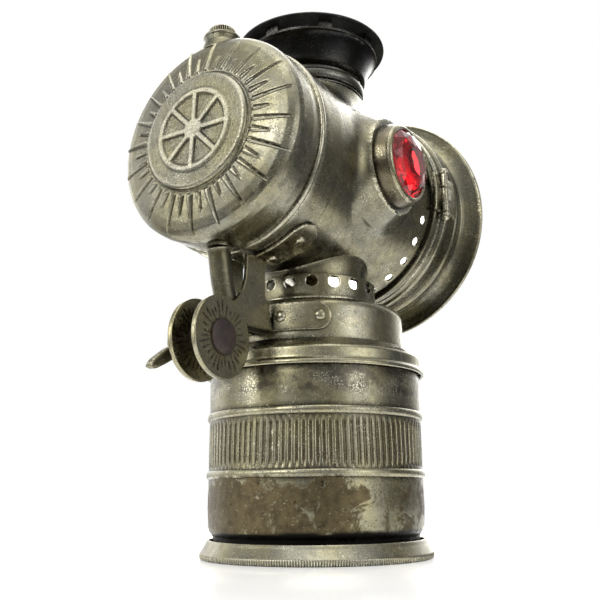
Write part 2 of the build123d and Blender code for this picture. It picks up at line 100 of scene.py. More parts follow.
HEAD_Z = (TANK_LOW[2] + TANK_HIGH[2]) / 2
JEWEL_Y = (JEWEL_LOW[1] + JEWEL_HIGH[1]) / 2
JEWEL_R = (JEWEL_HIGH[2] - JEWEL_LOW[2]) / 2
VALVE_Y = (KNOB_LOW[1] + KNOB_HIGH[1]) / 2
EAR_Y = (BOLT_LOW[1] + BOLT_HIGH[1]) / 2
EAR_Z = (BOLT_LOW[2] + BOLT_HIGH[2]) / 2
EAR_R = EAR_HIGH[1] - EAR_Y
EAR_IN = EAR_LOW[0]
EAR_OUT = EAR_IN + 1.4
HINGE_X = (PIN_LOW[0] + PIN_HIGH[0]) / 2
HINGE_Y = (PIN_LOW[1] + PIN_HIGH[1]) / 2
BODY_OF = {node: body for body, nodes in frame["record"]["behaviour"]["bodies"].items() for node in nodes}


def frame_of(x, y, z, along):
    """Matrix that carries a piece turned about local Z onto an axis through (x, y, z)."""
    columns = {
        "up": ((1, 0, 0), (0, 1, 0), (0, 0, 1)),
        "rear": ((-1, 0, 0), (0, 0, 1), (0, 1, 0)),
        "right": ((0, 1, 0), (0, 0, -1), (-1, 0, 0)),
        "left": ((0, -1, 0), (0, 0, -1), (1, 0, 0)),
    }[along]
    matrix = Matrix(columns).transposed().to_4x4()
    matrix.translation = (x, y, z)
    return np.array(matrix)


UPRIGHT = frame_of(0, 0, 0, "up")
HEAD = frame_of(0, 0, HEAD_Z, "rear")
RIGHT_SIDE = frame_of(0, JEWEL_Y, HEAD_Z, "right")
LEFT_SIDE = frame_of(0, JEWEL_Y, HEAD_Z, "left")
CLAMP_RIGHT = frame_of(0, EAR_Y, EAR_Z, "right")
CLAMP_LEFT = frame_of(0, EAR_Y, EAR_Z, "left")


# ---- mesh tools -------------------------------------------------------------
def new_object(name, data):
    made = bpy.data.objects.new(name, data)
    bpy.context.scene.collection.objects.link(made)
    return made


def finish_mesh(name, verts, faces, node, material, weld=True, sharp=35, also=(), marks_and_shade=None):
    """Makes a piece of a mesh given in millimetres; it stands for CAD node `node` and rides with it.

    material is a name in MATERIALS."""
    mesh = bpy.data.meshes.new(name)
    mesh.from_pydata((np.asarray(verts, float) * MM).tolist(), [], faces)
    if marks_and_shade is not None:
        layer = mesh.attributes.new("marks_and_shade", "FLOAT", "POINT")
        layer.data.foreach_set("value", np.asarray(marks_and_shade, np.float32).ravel())
    work = bmesh.new()
    work.from_mesh(mesh)
    if weld:
        bmesh.ops.remove_doubles(work, verts=work.verts, dist=2e-6)
        bmesh.ops.dissolve_degenerate(work, edges=work.edges, dist=1e-6)
    bmesh.ops.recalc_face_normals(work, faces=work.faces)
    work.to_mesh(mesh)
    work.free()
    mesh.polygons.foreach_set("use_smooth", [True] * len(mesh.polygons))
    mesh.set_sharp_from_angle(angle=math.radians(sharp))
    mesh.materials.append(MATERIALS[material])
    piece = new_object(name, mesh)
    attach(piece, BODY_OF[node])
    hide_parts(node, *also)
    return piece


def soften(outline, radius=0.2, steps=3, closed=True):
    """Outline with its corners rounded."""
    points = np.array(outline, float)
    count = len(points)
    softened = []
    for i, p in enumerate(points):
        if not closed and i in (0, count - 1):
            softened.append(p)
            continue
        before = points[i - 1] - p
        after = points[(i + 1) % count] - p
        cut = min(radius, 0.45 * np.linalg.norm(before), 0.45 * np.linalg.norm(after))
        start = p + before / np.linalg.norm(before) * cut
        end = p + after / np.linalg.norm(after) * cut
        for t in np.linspace(0, 1, steps + 1):
            softened.append((1 - t) ** 2 * start + 2 * t * (1 - t) * p + t * t * end)
    return np.array(softened)


def divide(outline, longest, closed=True):
    """Outline with extra points, so that no edge is longer than `longest`."""
    points = np.array(outline, float)
    count = len(points)
    divided = []
    for i in range(count if closed else count - 1):
        a, b = points[i], points[(i + 1) % count]
        parts = max(1, math.ceil(np.linalg.norm(b - a) / longest))
        divided += [a + (b - a) * k / parts for k in range(parts)]
    if not closed:
        divided.append(points[-1])
    return np.array(divided)


def rounded(outline, longest, radius, steps=3, closed=True):
    """Outline with round corners and no edge longer than `longest`."""
    return divide(soften(outline, radius, steps, closed), longest, closed)


def arc(along, radius, wide, tall, start, end, count):
    """Points of an elliptic arc about (along, radius)."""
    return [(along + wide * math.cos(a), radius + tall * math.sin(a))
            for a in np.linspace(start, end, count)]


def wall(outer, thickness=SHEET):
    """Closed outline of a sheet whose outer side is `outer`; the sheet lies on the path's right."""
    points = np.array(outer, float)
    ahead = np.diff(points, axis=0)
    ahead /= np.linalg.norm(ahead, axis=1)[:, None]
    first = np.vstack([ahead[:1], ahead])
    last = np.vstack([ahead, ahead[-1:]])
    normal_a = np.column_stack([first[:, 1], -first[:, 0]])
    normal_b = np.column_stack([last[:, 1], -last[:, 0]])
    middle = normal_a + normal_b
    reach = thickness * 2 / np.maximum((middle ** 2).sum(1), 1.2)
    inner = points + middle * reach[:, None]
    return np.vstack([points, inner[::-1]])


def grid_faces(rows, columns, wrap_rows, wrap_columns):
    """Quads of a grid of points, row after row."""
    faces = []
    for i in range(rows if wrap_rows else rows - 1):
        here = i * columns
        there = ((i + 1) % rows) * columns
        for j in range(columns if wrap_columns else columns - 1):
            k = (j + 1) % columns
            faces.append((here + j, here + k, there + k, there + j))
    return faces


def place_points(points, matrix):
    points = np.asarray(points, float)
    return points @ matrix[:3, :3].T + matrix[:3, 3]


def turned(name, outline, count, node, material, matrix=UPRIGHT, shift=None, closed=True, sharp=35, also=(),
           marks_and_shade=None):
    """Solid of revolution from (along, radius) points; shift moves (along, radius) at each turn angle."""
    points = np.asarray(outline, float)
    along = np.repeat(points[:, :1], count, axis=1)
    radius = np.repeat(points[:, 1:], count, axis=1)
    turn = np.repeat(np.arange(count)[None, :] * TAU / count, len(points), axis=0)
    if marks_and_shade:
        marks_and_shade = np.clip(marks_and_shade(along, radius, turn), -1, 1)
    if shift:
        along, radius = shift(along, radius, turn)
    verts = np.stack([radius * np.cos(turn), radius * np.sin(turn), along], axis=-1).reshape(-1, 3)
    faces = grid_faces(len(points), count, closed, True)
    return finish_mesh(name, place_points(verts, matrix), faces, node, material, sharp=sharp, also=also,
                       marks_and_shade=marks_and_shade)


def loft(name, sections, node, material, sharp=35, also=()):
    """Closed cross-sections joined one after another, with flat ends."""
    sections = np.asarray(sections, float)
    rows, columns = sections.shape[:2]
    faces = grid_faces(rows, columns, False, True)
    faces.append(tuple(range(columns)))
    faces.append(tuple((rows - 1) * columns + j for j in range(columns)))
    return finish_mesh(name, sections.reshape(-1, 3), faces, node, material, sharp=sharp, also=also)


def rounded_box_section(half_width, half_height, radius, steps=3):
    """Closed outline of a rectangle with round corners."""
    corners = [(-half_width, -half_height), (half_width, -half_height), (half_width, half_height),
               (-half_width, half_height)]
    return soften(corners, radius, steps)


def cut(piece, low, high):
    """Takes a box, given in millimetres, out of a piece."""
    mesh = bpy.data.meshes.new("cutter")
    work = bmesh.new()
    bmesh.ops.create_cube(work, size=1)
    size = (np.array(high) - np.array(low)) * MM
    middle = (np.array(high) + np.array(low)) / 2 * MM
    bmesh.ops.scale(work, vec=Vector(size), verts=work.verts)
    bmesh.ops.translate(work, vec=Vector(middle), verts=work.verts)
    work.to_mesh(mesh)
    work.free()
    carve(piece, mesh)


def carve(piece, cutter_mesh):
    """Boolean difference, applied to the piece's mesh."""
    cutter = new_object("cutter", cutter_mesh)
    step = piece.modifiers.new("cut", "BOOLEAN")
    step.operation = "DIFFERENCE"
    step.solver = "EXACT"
    step.object = cutter
    bpy.context.view_layer.update()
    depsgraph = bpy.context.evaluated_depsgraph_get()
    result = bpy.data.meshes.new_from_object(piece.evaluated_get(depsgraph))
    piece.modifiers.clear()
    old = piece.data
    piece.data = result
    bpy.data.meshes.remove(old)
    bpy.data.objects.remove(cutter)
    result.set_sharp_from_angle(angle=math.radians(35))


def cylinder_mesh(radius, low, high, matrix, count=96):
    """Closed cylinder about a matrix's axis, in metres, for cutting."""
    turn = np.arange(count) * TAU / count
    ring = np.column_stack([radius * np.cos(turn), radius * np.sin(turn)])
    verts = np.vstack([np.column_stack([ring, np.full(count, low)]),
                       np.column_stack([ring, np.full(count, high)])])
    faces = [(j, (j + 1) % count, count + (j + 1) % count, count + j) for j in range(count)]
    faces += [tuple(range(count))[::-1], tuple(range(count, 2 * count))]
    mesh = bpy.data.meshes.new("cutter")
    mesh.from_pydata((place_points(verts, matrix) * MM).tolist(), [], faces)
    return mesh


def wobble(a, b, seed):
    """Smooth irregular waves between about -1 and 1, for dents."""
    total = 0
    for k in range(1, 6):
        phase = seed * 1.7 + k * 2.3
        total = total + np.sin(a * 0.11 * k + phase) * np.cos(b * k + phase * 1.9) / k
    return total / 1.6


def dents(depth, seed, low=None, high=None):
    """Shift for a turned piece: shallow dents, faded in from radius low to high."""

    def shift(along, radius, turn):
        amount = depth * wobble(along, turn, seed)
        if low is not None:
            amount = amount * step_between(radius, low, high)
        return along, radius + amount

    return shift


def ridge_wave(turn, count, sharpness=1.0):
    """Wave between 0 and 1 with `count` crests in a turn."""
    return np.power(0.5 + 0.5 * np.cos(turn * count), sharpness)


def step_between(value, low, high):
    """Smooth step from 0 at low to 1 at high."""
    t = np.clip((value - low) / (high - low), 0, 1)
    return t * t * (3 - 2 * t)


# ---- material tools ---------------------------------------------------------
class Shader:
    """A material under construction; coordinates are millimetres in the object's own frame."""

    def __init__(self, name):
        self.material = bpy.data.materials.new(name)
        self.material.use_nodes = True
        self.tree = self.material.node_tree
        self.bsdf = self.tree.nodes["Principled BSDF"]
        place = self.tree.nodes.new("ShaderNodeTexCoord")
        scale = self.tree.nodes.new("ShaderNodeMapping")
        scale.inputs["Scale"].default_value = (1 / MM, 1 / MM, 1 / MM)
        self.tree.links.new(place.outputs["Object"], scale.inputs["Vector"])
        self.mm = scale.outputs["Vector"]

    def put(self, socket, value):
        if isinstance(value, bpy.types.NodeSocket):
            self.tree.links.new(value, socket)
        elif isinstance(value, tuple) and len(value) == 3 and socket.type == "RGBA":
            socket.default_value = (*value, 1)
        else:
            socket.default_value = value

    def noise(self, size, detail=4, rough=0.55, stretch=None, warp=0.0):
        """Noise whose features are about `size` millimetres; stretch divides the scale along each axis."""
        node = self.tree.nodes.new("ShaderNodeTexNoise")
        node.inputs["Scale"].default_value = 1 / size
        node.inputs["Detail"].default_value = detail
        node.inputs["Roughness"].default_value = rough
        node.inputs["Distortion"].default_value = warp
        vector = self.mm
        if stretch:
            mapping = self.tree.nodes.new("ShaderNodeMapping")
            mapping.inputs["Scale"].default_value = stretch
            self.tree.links.new(self.mm, mapping.inputs["Vector"])
            vector = mapping.outputs["Vector"]
        self.tree.links.new(vector, node.inputs["Vector"])
        return node.outputs["Fac"]

    def ramp(self, value, low, high, out_low=0.0, out_high=1.0):
        """Smooth map of value from (low, high) to (out_low, out_high)."""
        node = self.tree.nodes.new("ShaderNodeMapRange")
        node.interpolation_type = "SMOOTHSTEP"
        self.put(node.inputs["Value"], value)
        for key, number in (("From Min", low), ("From Max", high), ("To Min", out_low),
                            ("To Max", out_high)):
            node.inputs[key].default_value = number
        return node.outputs["Result"]

    def math(self, kind, a, b=0.0):
        node = self.tree.nodes.new("ShaderNodeMath")
        node.operation = kind
        node.use_clamp = kind in ("MULTIPLY", "MINIMUM")
        self.put(node.inputs[0], a)
        self.put(node.inputs[1], b)
        return node.outputs[0]

    def times(self, a, b):
        return self.math("MULTIPLY", a, b)

    def mix(self, factor, a, b):
        node = self.tree.nodes.new("ShaderNodeMix")
        node.data_type = "RGBA"
        self.put(node.inputs["Factor"], factor)
        self.put(node.inputs["A"], a)
        self.put(node.inputs["B"], b)
        return node.outputs["Result"]

    def axis(self, which):
        node = self.tree.nodes.new("ShaderNodeSeparateXYZ")
        self.tree.links.new(self.mm, node.inputs[0])
        return node.outputs[which]

    def vertex_value(self, name):
        node = self.tree.nodes.new("ShaderNodeAttribute")
        node.attribute_name = name
        return node.outputs["Fac"]

    def edge(self, low, high):
        """1 on raised edges, 0 in hollows."""
        node = self.tree.nodes.new("ShaderNodeNewGeometry")
        return self.ramp(node.outputs["Pointiness"], low, high)

    def crevice(self, reach, low, high):
        """1 deep in corners and gaps within `reach` millimetres, 0 in the open."""
        node = self.tree.nodes.new("ShaderNodeAmbientOcclusion")
        node.samples = 8
        node.inputs["Distance"].default_value = reach * MM
        return self.math("SUBTRACT", 1.0, self.ramp(node.outputs["AO"], low, high))

    def bump(self, height, depth, strength=1.0, normal=None):
        """Bump whose height of 1 is `depth` millimetres."""
        node = self.tree.nodes.new("ShaderNodeBump")
        node.inputs["Distance"].default_value = depth * MM
        node.inputs["Strength"].default_value = strength
        self.put(node.inputs["Height"], height)
        if normal:
            self.put(node.inputs["Normal"], normal)
        return node.outputs["Normal"]

    def set(self, **values):
        for key, value in values.items():
            self.put(self.bsdf.inputs[key.replace("_", " ")], value)


def aged_plate(name, plate=(0.192, 0.184, 0.134), dark=(0.070, 0.064, 0.042), bright=(0.62, 0.59, 0.46),
               rough=(0.18, 0.32), grain=1.0, pits=1.0, shade_and_grime=1.0, spread=1.0, edges=True):
    """Old nickel plate on brass: mottled, pitted, rubbed bright on its edges, and painted dark brown in its
    crevices and hollows as shade.
    """
    s = Shader(name)
    cloud = s.noise(11, 6, 0.62)
    mottle = s.noise(2.4, 7, 0.66)
    fine = s.noise(0.55, 5, 0.66)
    grit = s.noise(0.22, 3, 0.6)
    warm = (plate[0] * 1.02, plate[1] * 0.98, plate[2] * 0.84)
    cool = (plate[0] * 0.88, plate[1] * 0.89, plate[2] * 0.94)
    colour = s.mix(s.ramp(cloud, 0.36, 0.64), warm, cool)
    colour = s.mix(s.ramp(mottle, 0.50, 0.74, 0.0, 0.34 * spread), colour, dark)
    colour = s.mix(s.ramp(fine, 0.50, 0.74, 0.0, 0.45), colour, dark)
    # Painted shade: darkened where the surface is occluded, in crevices and gaps.
    crevice_shade = s.crevice(2.6, 0.42, 0.88)
    crevice_shade = s.times(crevice_shade, s.ramp(fine, 0.25, 0.60, 0.75, 1.0))
    colour = s.mix(s.times(crevice_shade, 0.9 * shade_and_grime), colour, tuple(0.30 * d for d in dark))
    # The vertex attribute paints real marks and shade dark where positive, and rub and highlight bright where
    # negative.
    attribute = s.vertex_value("marks_and_shade")
    dark_marks_and_shade = s.times(attribute, s.ramp(fine, 0.25, 0.62, 0.55, 1.0))
    colour = s.mix(s.times(dark_marks_and_shade, 0.93), colour, tuple(0.28 * d for d in dark))
    rub_and_highlight = s.times(s.math("SUBTRACT", 0.0, attribute), s.ramp(fine, 0.35, 0.58, 0.4, 1.0))
    colour = s.mix(rub_and_highlight, colour, bright)
    if edges:
        # Painted shade in hollows, found from the mesh's curvature.
        hollow_shade = s.math("SUBTRACT", 1.0, s.edge(0.445, 0.495))
        colour = s.mix(s.times(hollow_shade, 0.85 * shade_and_grime), colour, tuple(0.30 * d for d in dark))
        rub = s.times(s.edge(0.505, 0.56), s.ramp(fine, 0.35, 0.6))
        colour = s.mix(rub, colour, bright)
    pit = s.times(s.ramp(grit, 0.565, 0.64), s.ramp(s.noise(5, 5, 0.62), 0.44, 0.58))
    pit = s.times(pit, pits)
    colour = s.mix(pit, colour, tuple(0.25 * d for d in dark))
    fleck = s.times(s.ramp(s.noise(0.33, 3, 0.6), 0.56, 0.66), s.ramp(s.noise(6.5, 5, 0.62), 0.47, 0.62))
    colour = s.mix(s.times(fleck, 0.75), colour, bright)
    tone = s.ramp(mottle, 0.3, 0.72, rough[0], rough[1])
    tone = s.math("ADD", tone, s.times(pit, 0.35))
    streak = s.noise(0.6, 3, 0.6, stretch=(1, 1, 5))
    height = s.math("ADD", s.times(fine, 0.5), s.times(streak, 0.5))
    normal = s.bump(height, 0.030 * grain, 0.8)
    normal = s.bump(s.math("SUBTRACT", 1.0, pit), 0.05, 0.8, normal)
    normal = s.bump(s.noise(9, 3), 0.14, 0.7, normal)
    s.set(Base_Color=colour, Metallic=1.0, Roughness=tone, Normal=normal)
    return s


def material_set():
    """Every material, by name."""
    made = {}
    made["shell"] = aged_plate("aged_nickel_shell").material
    made["fitting"] = aged_plate("aged_nickel_fitting", plate=(0.215, 0.20, 0.135), grain=1.4).material
    made["plate"] = aged_plate("aged_nickel_stamping", plate=(0.33, 0.312, 0.214), grain=1.2, spread=0.6,
                               edges=False).material
    made["flue"] = aged_plate("smoked_nickel", plate=(0.135, 0.135, 0.122), dark=(0.05, 0.05, 0.045),
                              rough=(0.20, 0.30), pits=0.5, spread=0.7, edges=False).material
    made["plain"] = aged_plate("aged_nickel_plain", plate=(0.27, 0.26, 0.195), pits=0.5).material
    made["tank"] = tank_material()
    made["can"] = can_material()
    made["chimney"] = aged_plate("heated_nickel", plate=(0.020, 0.020, 0.020), dark=(0.010, 0.010, 0.010),
                                 bright=(0.10, 0.095, 0.085), rough=(0.20, 0.30), pits=0.3,
                                 spread=0.6).material
    made["soot"] = soot_material()
    made["dull"] = aged_plate("dull_nickel", plate=(0.105, 0.10, 0.070), dark=(0.045, 0.040, 0.028),
                              bright=(0.40, 0.38, 0.28), rough=(0.26, 0.42)).material
    made["stained"] = aged_plate("stained_nickel", plate=(0.13, 0.115, 0.08), dark=(0.04, 0.030, 0.020),
                                 bright=(0.60, 0.56, 0.42), grain=1.6, pits=1.2).material
    made["steel"] = rusted_steel()
    made["brass"] = aged_plate("dull_brass", plate=(0.30, 0.235, 0.12), dark=(0.12, 0.085, 0.04),
                               bright=(0.60, 0.48, 0.25), edges=False).material
    made["steatite"] = mingled("fired_steatite", ((0.72, 0.68, 0.58), (0.50, 0.45, 0.36)),
                               (1.5, 4, 0.55, 0.4, 0.7), (0.8, 3, 0.3, 0.7, 0.6, 0.8), (0.25, 3, 0.02))
    made["red"] = jewel_material("red_glass", (0.86, 0.01, 0.02))
    made["green"] = jewel_material("green_glass", (0.01, 0.50, 0.14))
    made["clear"] = glass_material()
    made["mirror"] = mingled("silvered_reflector", ((0.86, 0.85, 0.80), (0.42, 0.36, 0.24)),
                             (2.0, 6, 0.7, 0.56, 0.72), (1.5, 4, 0.3, 0.8, 0.05, 0.22), (6, 3, 0.03),
                             Metallic=1.0)
    made["felt"] = mingled("grey_felt", ((0.42, 0.38, 0.30), (0.24, 0.21, 0.16)), (0.5, 6, 0.7, 0.35, 0.7),
                           (0.4, 3, 0.3, 0.7, 0.85, 0.97), (0.25, 4, 0.15), Sheen_Weight=0.3)
    made["rubber"] = mingled("old_rubber", ((0.018, 0.017, 0.016), (0.05, 0.047, 0.042)),
                             (2, 5, 0.55, 0.4, 0.7), (1, 4, 0.3, 0.7, 0.6, 0.85), (0.4, 4, 0.03))
    return made


def tank_material():
    s = aged_plate("aged_nickel_tank", plate=(0.235, 0.226, 0.168), bright=(0.68, 0.65, 0.52), pits=0.9,
                   grain=1.3, edges=False)
    face = s.tree.nodes.new("ShaderNodeVectorMath")
    face.operation = "DISTANCE"
    flat = s.tree.nodes.new("ShaderNodeCombineXYZ")
    s.put(flat.inputs[0], s.axis(0))
    s.put(flat.inputs[2], s.axis(2))
    s.put(face.inputs[0], flat.outputs[0])
    face.inputs[1].default_value = (0, 0, HEAD_Z)
    medal = s.ramp(face.outputs["Value"], 16.6, 15.6)
    stipple = s.times(medal, s.noise(0.42, 2, 0.5))
    before = s.bsdf.inputs["Normal"].links[0].from_socket
    s.set(Normal=s.bump(stipple, 0.28, 0.9, before))
    return s.material


def can_material():
    """Can whose plate has worn brown and pitted below the lower bead; painted shadow darkens the band under
    the collar and the foot, and painted glints fleck a band below the collar.
    """
    s = aged_plate("aged_nickel_can", plate=(0.215, 0.205, 0.145), dark=(0.066, 0.058, 0.036),
                   bright=(0.62, 0.59, 0.45))
    colour = s.bsdf.inputs["Base Color"].links[0].from_socket
    tone = s.bsdf.inputs["Roughness"].links[0].from_socket
    height = s.axis(2)
    patch = s.math("ADD", s.noise(7, 8, 0.74, warp=0.6), s.ramp(height, 17.0, 23.5, 0.0, -0.13))
    patch = s.math("ADD", patch, s.ramp(s.axis(0), -14.0, -33.0, 0.0, -0.11))
    lower = s.times(s.ramp(height, 23.6, 22.4), s.ramp(patch, 0.36, 0.43))
    brown = s.mix(s.ramp(s.noise(2.2, 5), 0.35, 0.7), (0.098, 0.078, 0.042), (0.060, 0.048, 0.028))
    wear_and_painted_light = s.mix(lower, colour, brown)
    fleck = s.times(s.ramp(s.noise(1.1, 5, 0.7, stretch=(1, 1, 2.2)), 0.60, 0.68), s.ramp(height, 24, 23))
    wear_and_painted_light = s.mix(s.times(fleck, 0.75), wear_and_painted_light, (0.34, 0.32, 0.22))
    hole = s.times(s.ramp(s.noise(1.5, 4, 0.6), 0.64, 0.69), s.ramp(height, 23, 22))
    wear_and_painted_light = s.mix(s.times(hole, 0.85), wear_and_painted_light, (0.022, 0.018, 0.012))
    # Painted shadow under the collar, broken up by noise.
    upper = s.times(s.ramp(height, 43.5, 46.5), s.ramp(s.noise(6, 6, 0.7), 0.47, 0.60, 0.0, 0.8))
    wear_and_painted_light = s.mix(upper, wear_and_painted_light, (0.062, 0.056, 0.046))
    # Painted glints: bright specks in a band just below the collar.
    belt = s.times(s.ramp(height, 43.0, 45.5), s.ramp(height, 51.0, 48.5))
    painted_glint = s.times(s.ramp(s.noise(0.32, 4, 0.66), 0.55, 0.63), s.ramp(s.noise(5.5, 3), 0.44, 0.60))
    painted_glint = s.times(painted_glint, belt)
    wear_and_painted_light = s.mix(s.times(painted_glint, 0.9), wear_and_painted_light, (0.80, 0.76, 0.60))
    groove = s.times(s.ramp(height, 25.0, 26.5), s.ramp(height, 38.5, 37.0))
    groove = s.times(groove, s.math("SUBTRACT", 1.0, s.edge(0.47, 0.52)))
    wear_and_painted_light = s.mix(s.times(groove, 0.65), wear_and_painted_light, (0.080, 0.062, 0.034))
    # Near-black painted shadow in the gap at the foot, taken from the vertex attribute.
    foot = s.times(s.vertex_value("marks_and_shade"), s.ramp(height, 10.0, 9.0))
    wear_and_painted_light = s.mix(foot, wear_and_painted_light, (0.010, 0.009, 0.008))
    s.set(Base_Color=wear_and_painted_light, Roughness=s.math("ADD", tone, s.times(lower, 0.16)))
    return s.material


def soot_material():
    s = Shader("heat_blackened_plate")
    colour = s.mix(s.ramp(s.noise(3, 5), 0.4, 0.7), (0.012, 0.013, 0.014), (0.035, 0.033, 0.03))
    colour = s.mix(s.edge(0.515, 0.57), colour, (0.10, 0.10, 0.09))
    s.set(Base_Color=colour, Metallic=0.6, Roughness=s.ramp(s.noise(1.2, 4), 0.3, 0.7, 0.42, 0.62),
          Normal=s.bump(s.noise(0.5, 3), 0.02))
    return s.material


def rusted_steel():
    s = Shader("dark_rusted_steel")
    colour = s.mix(s.ramp(s.noise(2.5, 6, 0.65), 0.35, 0.65), (0.034, 0.028, 0.028), (0.062, 0.042, 0.034))
    colour = s.mix(s.ramp(s.noise(0.6, 4), 0.55, 0.7), colour, (0.03, 0.026, 0.028))
    s.set(Base_Color=colour, Metallic=0.55, Roughness=s.ramp(s.noise(0.9, 4), 0.3, 0.7, 0.45, 0.68),
          Normal=s.bump(s.noise(0.5, 5, 0.65), 0.06))
    return s.material


def mingled(name, tones, cloud, gloss, grain, **extra):
    """Material of two mingled colours; cloud, gloss and grain say how coarse each pattern is."""
    s = Shader(name)
    size, detail, rough, low, high = cloud
    colour = s.mix(s.ramp(s.noise(size, detail, rough), low, high), *tones)
    size, detail, *levels = gloss
    smooth = s.ramp(s.noise(size, detail), *levels)
    size, detail, depth = grain
    s.set(Base_Color=colour, Roughness=smooth, Normal=s.bump(s.noise(size, detail), depth), **extra)
    return s.material


def jewel_material(name, colour):
    s = Shader(name)
    deep = tuple(0.7 * c for c in colour)
    tint = s.mix(s.ramp(s.noise(6, 3), 0.35, 0.7), colour, deep)
    s.set(Base_Color=tint, Roughness=s.ramp(s.noise(2, 3), 0.4, 0.8, 0.02, 0.06), Transmission_Weight=0.97,
          IOR=1.5, Normal=s.bump(s.noise(3, 2), 0.01))
    # The emission is a painted glow in the stone's own colour.
    s.set(Specular_IOR_Level=0.75, Emission_Color=colour, Emission_Strength=0.015)
    return s.material


def glass_material():
    s = Shader("clear_door_glass")
    dust = s.ramp(s.noise(3, 6, 0.65), 0.5, 0.8)
    s.set(Base_Color=s.mix(dust, (1.0, 1.0, 0.985), (0.93, 0.92, 0.87)), Transmission_Weight=1.0, IOR=1.46,
          Roughness=s.ramp(dust, 0.0, 1.0, 0.0, 0.06), Normal=s.bump(s.noise(12, 2), 0.02))
    return s.material


MATERIALS = material_set()
SLOT_MATERIAL = {
    "nickel_shell": "shell", "nickel_can": "can", "nickel_fittings": "fitting", "sooty_metal": "soot",
    "dark_steel": "steel", "bare_brass": "brass", "steatite": "steatite", "red_glass": "red",
    "green_glass": "green", "clear_glass": "clear", "silvered_mirror": "mirror", "felt": "felt",
    "rubber_seal": "rubber",
}
DARKENED_NODES = {"valve_seat": "dull"}


def dress_cad_nodes():
    """Gives each CAD node the material of its slot."""
    for part in frame["record"]["subparts"]:
        mesh = frame["nodes"][part["node"]].data
        mesh.materials.clear()
        usual = SLOT_MATERIAL[part["material_slot"]]
        mesh.materials.append(MATERIALS[DARKENED_NODES.get(part["node"], usual)])


# ---- generator --------------------------------------------------------------
def make_base():
    rim = BASE_HIGH[0]
    top = BASE_HIGH[2]
    teeth = 300
    outline = [(0.0, 31.5), (0.0, rim - 0.5), (0.3, rim), (1.5, rim), (1.9, rim - 0.25), (2.9, rim - 0.9),
               (4.3, rim - 1.75), (top, rim - 2.2), (top, rim - 2.65), (4.2, rim - 2.5), (3.2, 31.9),
               (1.7, 31.7), (1.7, 0.0), (0.5, 0.0), (0.5, 31.0)]
    start = [(0.5, 0.0), (0.5, 30.8), (0.0, 31.5)] + outline[1:13]

    def knurl(along, radius, turn):
        tooth = ridge_wave(turn, teeth, 0.8)
        on_edge = step_between(radius, rim - 0.35, rim - 0.1) * step_between(-along, -1.8, -1.4)
        dent = 0.10 * wobble(along, turn, 3) * step_between(radius, 28, 31)
        return along + 0.06 * dent, radius - 0.16 * tooth * on_edge + 0.5 * dent

    profile = rounded(start, 1.2, 0.25, closed=False)
    turned("knurled_base", profile, 1200, "base_cap", "plain", shift=knurl, closed=False, sharp=50)


def make_can():
    wall_r = CAN_HIGH[0] - 0.6
    bottom, top = CAN_LOW[2], CAN_HIGH[2]
    beads = (23.4, 40.0)
    outer = [(bottom, wall_r - 1.7), (6.2, wall_r - 1.6), (7.1, wall_r - 0.9), (7.9, wall_r - 0.35),
             (14.0, wall_r + 0.05), (21.0, wall_r)]
    for z in beads:
        outer += arc(z, wall_r, 1.15, 0.62, math.pi, 0, 9)
        if z == beads[0]:
            outer += [(z + 1.9, wall_r - 0.05), (30.0, wall_r), (beads[1] - 1.9, wall_r - 0.05)]
    outer += [(42.5, wall_r), (50.0, wall_r), (51.0, wall_r - 0.1), (top, wall_r - 0.1)]
    low, high = beads[0] + 2.3, beads[1] - 2.5

    def flute(along, radius, turn):
        lean = 0.0010 * along * np.sin(3 * turn) + 0.004 * np.sin(17 * turn)
        wave = 1 - ridge_wave(turn + lean, FLUTES, 1.0)
        end = 0.8 * (1 - wave)
        band = step_between(along, low - 0.4 + end, low + 0.4 + end)
        band = band * step_between(-along, -high - 0.4 + end, -high + 0.4 + end)
        depth = 0.34 * step_between(wave, 0.34, 0.72)
        dented = 0.16 * wobble(along, turn, 1) * step_between(-along, -24, -14)
        bulge = 0.06 * wobble(along * 0.6, turn, 5)
        return along, radius - depth * band + dented + bulge

    def marks_and_shade_of(along, radius, turn):
        lean = 0.0010 * along * np.sin(3 * turn)
        wave = 1 - ridge_wave(turn + lean + 0.004 * np.sin(17 * turn), FLUTES, 1.0)
        band = step_between(along, low, low + 1) * step_between(-along, -high, -high + 1)
        shade_and_grime = 0.60 * band * step_between(wave, 0.40, 0.78)
        # Painted shade in the creases just above and below each bead.
        for z in beads:
            above = 0.55 * np.exp(-((along - z - 1.6) / 0.35) ** 2)
            below = 0.35 * np.exp(-((along - z + 1.6) / 0.35) ** 2)
            shade_and_grime += above + below
        # Painted shadow under the collar.
        shade_and_grime += 0.75 * step_between(along, 47.5, 51.5)
        # Painted shadow in the gap at the can's foot, with a wavy top edge.
        edge = 7.4 + 0.5 * wobble(along * 0, turn * 5, 8) + 0.7 * np.cos(turn - 2.6)
        shade_and_grime += 1.6 * step_between(edge - along, -0.25, 0.35)
        return shade_and_grime

    inner = [(top, wall_r - 0.8), (9.0, wall_r - 1.4), (bottom, wall_r - 2.3)]
    outline = np.vstack([divide(outer, 0.9, closed=False), divide(inner, 12, closed=False)])
    turned("fluted_can", outline, 1320, "carbide_can", "can", shift=flute, sharp=60,
           marks_and_shade=marks_and_shade_of)


def make_collar():
    low, lip, top = COLLAR_LOW[2], COLLAR_HIGH[0], COLLAR_HIGH[2]
    outline = [(low, lip - 0.9), (low, lip - 0.15), (low + 0.5, lip), (low + 1.2, lip - 0.15),
               (low + 1.7, lip - 0.75), (low + 2.3, lip - 0.85), (low + 4.6, lip - 0.9),
               (low + 5.3, lip - 1.3), (low + 6.2, lip - 2.6), (low + 7.0, 29.4), (top, 27.9), (top, 26.8),
               (low + 7.0, 28.0), (low + 5.0, lip - 2.0), (low + 2.0, lip - 1.55)]

    turned("spun_collar", rounded(outline, 1.0, 0.25), 480, "generator_collar", "plain",
           shift=dents(0.07, 7))


